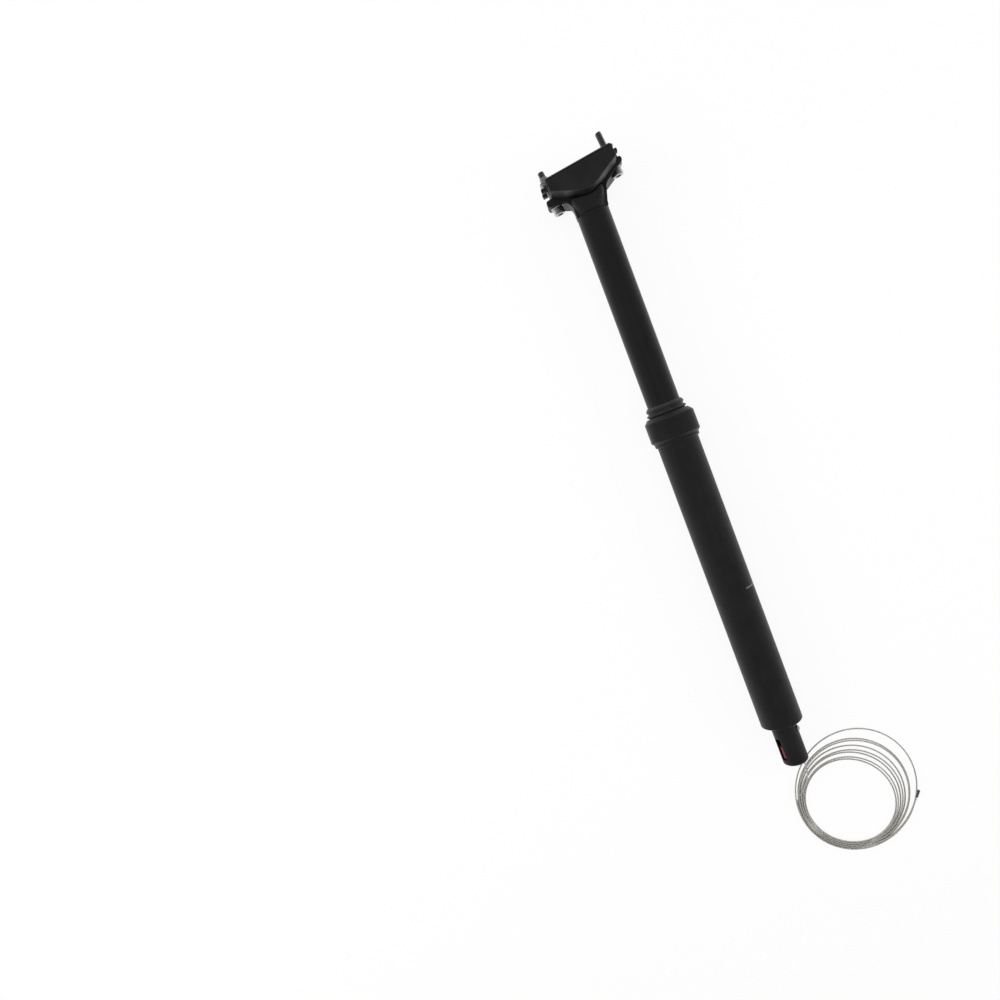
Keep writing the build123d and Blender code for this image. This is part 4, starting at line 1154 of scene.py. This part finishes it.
def merged_copy(node, name):
    """A copy of a frame's piece with its doubled vertices merged."""
    bpy.ops.object.select_all(action="DESELECT")
    mesh = frame["nodes"][node].data.copy()
    piece = bpy.data.objects.new(name, mesh)
    bpy.context.scene.collection.objects.link(piece)
    edit(piece)
    bpy.ops.mesh.select_all(action="SELECT")
    bpy.ops.mesh.remove_doubles(threshold=0.001 * mm)
    close_edit()
    return piece


def soften(piece, grid, rounds):
    """Rebuild a piece on a fine grid and melt its edges."""
    apply_modifier(piece, "REMESH", mode="VOXEL", voxel_size=grid, use_smooth_shade=True)
    apply_modifier(piece, "SMOOTH", factor=0.5, iterations=rounds)


# %% [markdown]
# ## The head
# The head is pressed onto the inner tube with no gap. So the lower rim of its neck, which the melting
# has rounded, is drawn down and in until it touches the tube.

# %% Forged head
rim_reach = 1.0 * mm
rim_width = 1.2 * mm
drawn_in = 0.5 * mm
drawn_down = 0.4 * mm
inside_tube = tube_radius - 0.1 * mm

head = merged_copy("saddle_head", "forged_head")
soften(head, 0.4 * mm, 8)
rim_height = extent("saddle_head", post_frame)[0].z
to_post = post_frame.inverted()
for vertex in head.data.vertices:
    point = to_post @ vertex.co
    radius = point.xy.length
    if point.z < rim_height + rim_reach and radius < tube_radius + rim_width:
        point.xy *= max(inside_tube, radius - drawn_in) / radius
        point.z -= drawn_down
        vertex.co = post_frame @ point
finish_piece(head, "forged_head", in_place, "slider", "clamp_anodised", "saddle_head")

# %% [markdown]
# ## The saddle clamp
# The rails of the saddle lie between the cradle and the plate above it. At both ends the cradle has a
# thin wall that stands up outside the rail and hides the joint, and the plate closes it like a lid.
# The wall is a block joined to the cradle's copy, and a block a little larger is cut out of the plate.

# %% Cradle and plate
lid_height = 4.2 * mm
wall_half_length = extent("lower_cradle", clamp_frame)[1].x - 0.5 * mm
wall_outside = extent("lower_cradle", clamp_frame)[1].y
wall_inside = wall_outside - 1.4 * mm


def block(place, low, high):
    """A block between two corners of one of our own frames."""
    bpy.ops.object.select_all(action="DESELECT")
    bpy.ops.mesh.primitive_cube_add(size=1)
    piece = bpy.context.active_object
    middle = (Vector(low) + Vector(high)) / 2
    size = Vector(high) - Vector(low)
    piece.matrix_world = place @ Matrix.Translation(middle) @ Matrix.Diagonal((*size, 1))
    apply_place(piece)
    return piece


cradle = merged_copy("lower_cradle", "rail_cradle")
plate = merged_copy("upper_clamp", "rail_clamp")
for side in (1, -1):
    near, far = sorted((side * wall_inside, side * wall_outside))
    low = (-wall_half_length, near, -1.5 * mm)
    wall = block(clamp_frame, low, (wall_half_length, far, lid_height))
    combine(cradle, wall, "UNION")
    near, far = sorted((side * (wall_inside - 0.2 * mm), side * (wall_outside + mm)))
    low = (-wall_half_length - 2 * mm, near, -mm)
    gap = block(clamp_frame, low, (wall_half_length + 2 * mm, far, lid_height + 0.3 * mm))
    combine(plate, gap, "DIFFERENCE")
soften(cradle, 0.4 * mm, 4)
soften(plate, 0.35 * mm, 4)
finish_piece(cradle, "rail_cradle", in_place, "clamp", "clamp_anodised", "lower_cradle")
finish_piece(plate, "rail_clamp", in_place, "clamp", "clamp_anodised", "upper_clamp")

# %% [markdown]
# ## The base and its lever
# The base is milled. A thin wall covers the part of its window that faces straight to the front, so
# that the window opens as a narrow slot beside it, and the upper end of the lever's pin is covered by
# a plug. The wall is a piece of a ring: one cylinder cut out of another, and a block that keeps the
# part that is wanted. The red lever sits in the slot. Its paddle is cut away where the wall would be in
# its path, and lies a little below the base's outside, so that a knock can't push it. The paddle's
# points are moved in by a fade along the lever.

# %% Base and lever


def rod(place, radius, low, high):
    """A plain cylinder on the upright axis of one of our own frames."""
    bpy.ops.object.select_all(action="DESELECT")
    bpy.ops.mesh.primitive_cylinder_add(vertices=96, radius=radius, depth=high - low)
    piece = bpy.context.active_object
    piece.matrix_world = place @ Matrix.Translation((0, 0, (low + high) / 2))
    apply_place(piece)
    return piece


overrun = 0.5 * mm
aside = 8 * mm
outside = 11 * mm
cover_low = 3.5 * mm
cover_high = 23.5 * mm
cover_wall = 0.8 * mm
cover_back = 5 * mm
slot_edge = 1.6 * mm
plug_radius = 1.6 * mm

paddle_face = extent("actuator_lever", post_frame)[1].x
base_radius = paddle_face + 0.4 * mm
base = merged_copy("base_housing", "base_shell")
cover = rod(post_frame, base_radius, cover_low, cover_high)
bore = rod(post_frame, base_radius - cover_wall, cover_low - overrun, cover_high + overrun)
combine(cover, bore, "DIFFERENCE")
keep_low = (cover_back, -aside, cover_low - overrun)
keep_high = (outside, slot_edge, cover_high + overrun)
combine(cover, block(post_frame, keep_low, keep_high), "INTERSECT")
combine(base, cover, "UNION")

pin_low, pin_high = extent("lever_pivot_pin", post_frame)
pin_middle = (pin_low + pin_high) / 2
pin_place = Matrix.Translation((pin_middle.x, 0, pin_middle.z))
pin_frame = post_frame @ pin_place @ Matrix.Rotation(-pi / 2, 4, "X")
plug = rod(pin_frame, plug_radius, pin_high.y + 0.1 * mm, base_radius - 0.25 * mm)
combine(base, plug, "UNION")
soften(base, 0.3 * mm, 5)
finish_piece(base, "base_shell", in_place, "outer", "clamp_anodised", "base_housing")

# %% Red lever
paddle_back = 3.5 * mm
paddle_foot = 4 * mm
paddle_sunk = 0.9 * mm
sink_start = paddle_face - 5 * mm
sink_border = 3 * mm

lever = merged_copy("actuator_lever", "red_lever")
behind_wall = block(post_frame, (paddle_back, -aside, paddle_foot), (outside, 2.3 * mm, 14 * mm))
combine(lever, behind_wall, "DIFFERENCE")
beside_arm = block(post_frame, (paddle_back, -aside, paddle_foot), (outside, -1.5 * mm, 17 * mm))
combine(lever, beside_arm, "DIFFERENCE")
soften(lever, 0.2 * mm, 5)
for vertex in lever.data.vertices:
    point = to_post @ vertex.co
    share = max(0.0, min(1.0, (point.x - sink_start) / sink_border))
    point.x -= paddle_sunk * share * share * (3 - 2 * share)
    vertex.co = post_frame @ point
finish_piece(lever, "red_lever", in_place, "lever", "lever_anodised", "actuator_lever")

# %% [markdown]
# ## Floor, lamps and world
# The picture is a product shot on white: a pale floor that fades into a white background, and light
# so soft that the shadow is barely there. The floor shows itself nearly white to the camera and to
# reflections, and keeps a little of the shadow. The world is white to the camera. To the object it is
# a studio with pale walls and a dark ceiling, so that the black tubes stay black on top and catch a
# soft edge of light from the sides.

# %% Floor
floor_show = 0.90


def seen_by(material, *kinds):
    """A factor of 1 for the named kinds of rays."""
    path = add_node(material, "ShaderNodeLightPath")
    seen = path.outputs[kinds[0]]
    for kind in kinds[1:]:
        seen = compute(material, "MAXIMUM", seen, path.outputs[kind])
    return seen


bpy.ops.object.select_all(action="DESELECT")
bpy.ops.mesh.primitive_plane_add(size=6, location=(0, 0, -0.2 * mm))
floor = bpy.context.active_object
floor.name = "studio_floor"
apply_place(floor)
floor_paint = bpy.data.materials.new("studio_floor")
floor_paint.use_nodes = True
paint = shader_of(floor_paint)
paint.inputs["Base Color"].default_value = (0.86, 0.86, 0.86, 1)
paint.inputs["Roughness"].default_value = 0.9
glow = add_node(floor_paint, "ShaderNodeEmission")
mix = add_node(floor_paint, "ShaderNodeMixShader")
seen = seen_by(floor_paint, "Is Camera Ray", "Is Glossy Ray", "Is Transmission Ray")
connect(floor_paint, compute(floor_paint, "MULTIPLY", seen, floor_show), mix.inputs["Fac"])
connect(floor_paint, paint.outputs["BSDF"], mix.inputs[1])
connect(floor_paint, glow.outputs["Emission"], mix.inputs[2])
surface = floor_paint.node_tree.nodes["Material Output"].inputs["Surface"]
connect(floor_paint, mix.outputs["Shader"], surface)
floor.data.materials.append(floor_paint)

# %% World and lamps
ceiling = 0.15
walls = 0.50
world = bpy.data.worlds.new("studio")
bpy.context.scene.world = world
world.use_nodes = True
direction = add_node(world, "ShaderNodeTexCoord")
axes = add_node(world, "ShaderNodeSeparateXYZ")
connect(world, direction.outputs["Generated"], axes.inputs[0])
dome = rescale(world, axes.outputs["Z"], 0.15, 0.85, walls, ceiling)
seen = seen_by(world, "Is Camera Ray", "Is Transmission Ray")
background = world.node_tree.nodes["Background"]
background.inputs["Color"].default_value = (1, 1, 1, 1)
connect(world, compute(world, "MAXIMUM", seen, dome), background.inputs["Strength"])


def softbox(name, place, width, height, power, mirrored):
    """A large soft lamp that looks at the post, and that shiny surfaces mirror or not."""
    bpy.ops.object.light_add(type="AREA", location=place)
    lamp = bpy.context.active_object
    lamp.name = name
    lamp.data.shape = "RECTANGLE"
    lamp.data.size = width
    lamp.data.size_y = height
    lamp.data.energy = power
    lamp.rotation_euler = (-Vector(place)).to_track_quat("-Z", "Y").to_euler()
    lamp.visible_camera = False
    lamp.visible_glossy = mirrored


softbox("top_softbox", (0, 0.05, 1.1), 1.2, 1.2, 8.0, mirrored=False)
softbox("front_softbox", (0.1, 0.85, 0.55), 1.2, 0.5, 5.0, mirrored=False)
softbox("rear_softbox", (-0.1, -0.85, 0.50), 1.2, 0.5, 4.0, mirrored=False)
softbox("head_softbox", (0.9, 0.1, 0.55), 0.7, 0.5, 1.2, mirrored=True)

# %% Studio look
bpy.context.scene.view_settings.view_transform = "Standard"
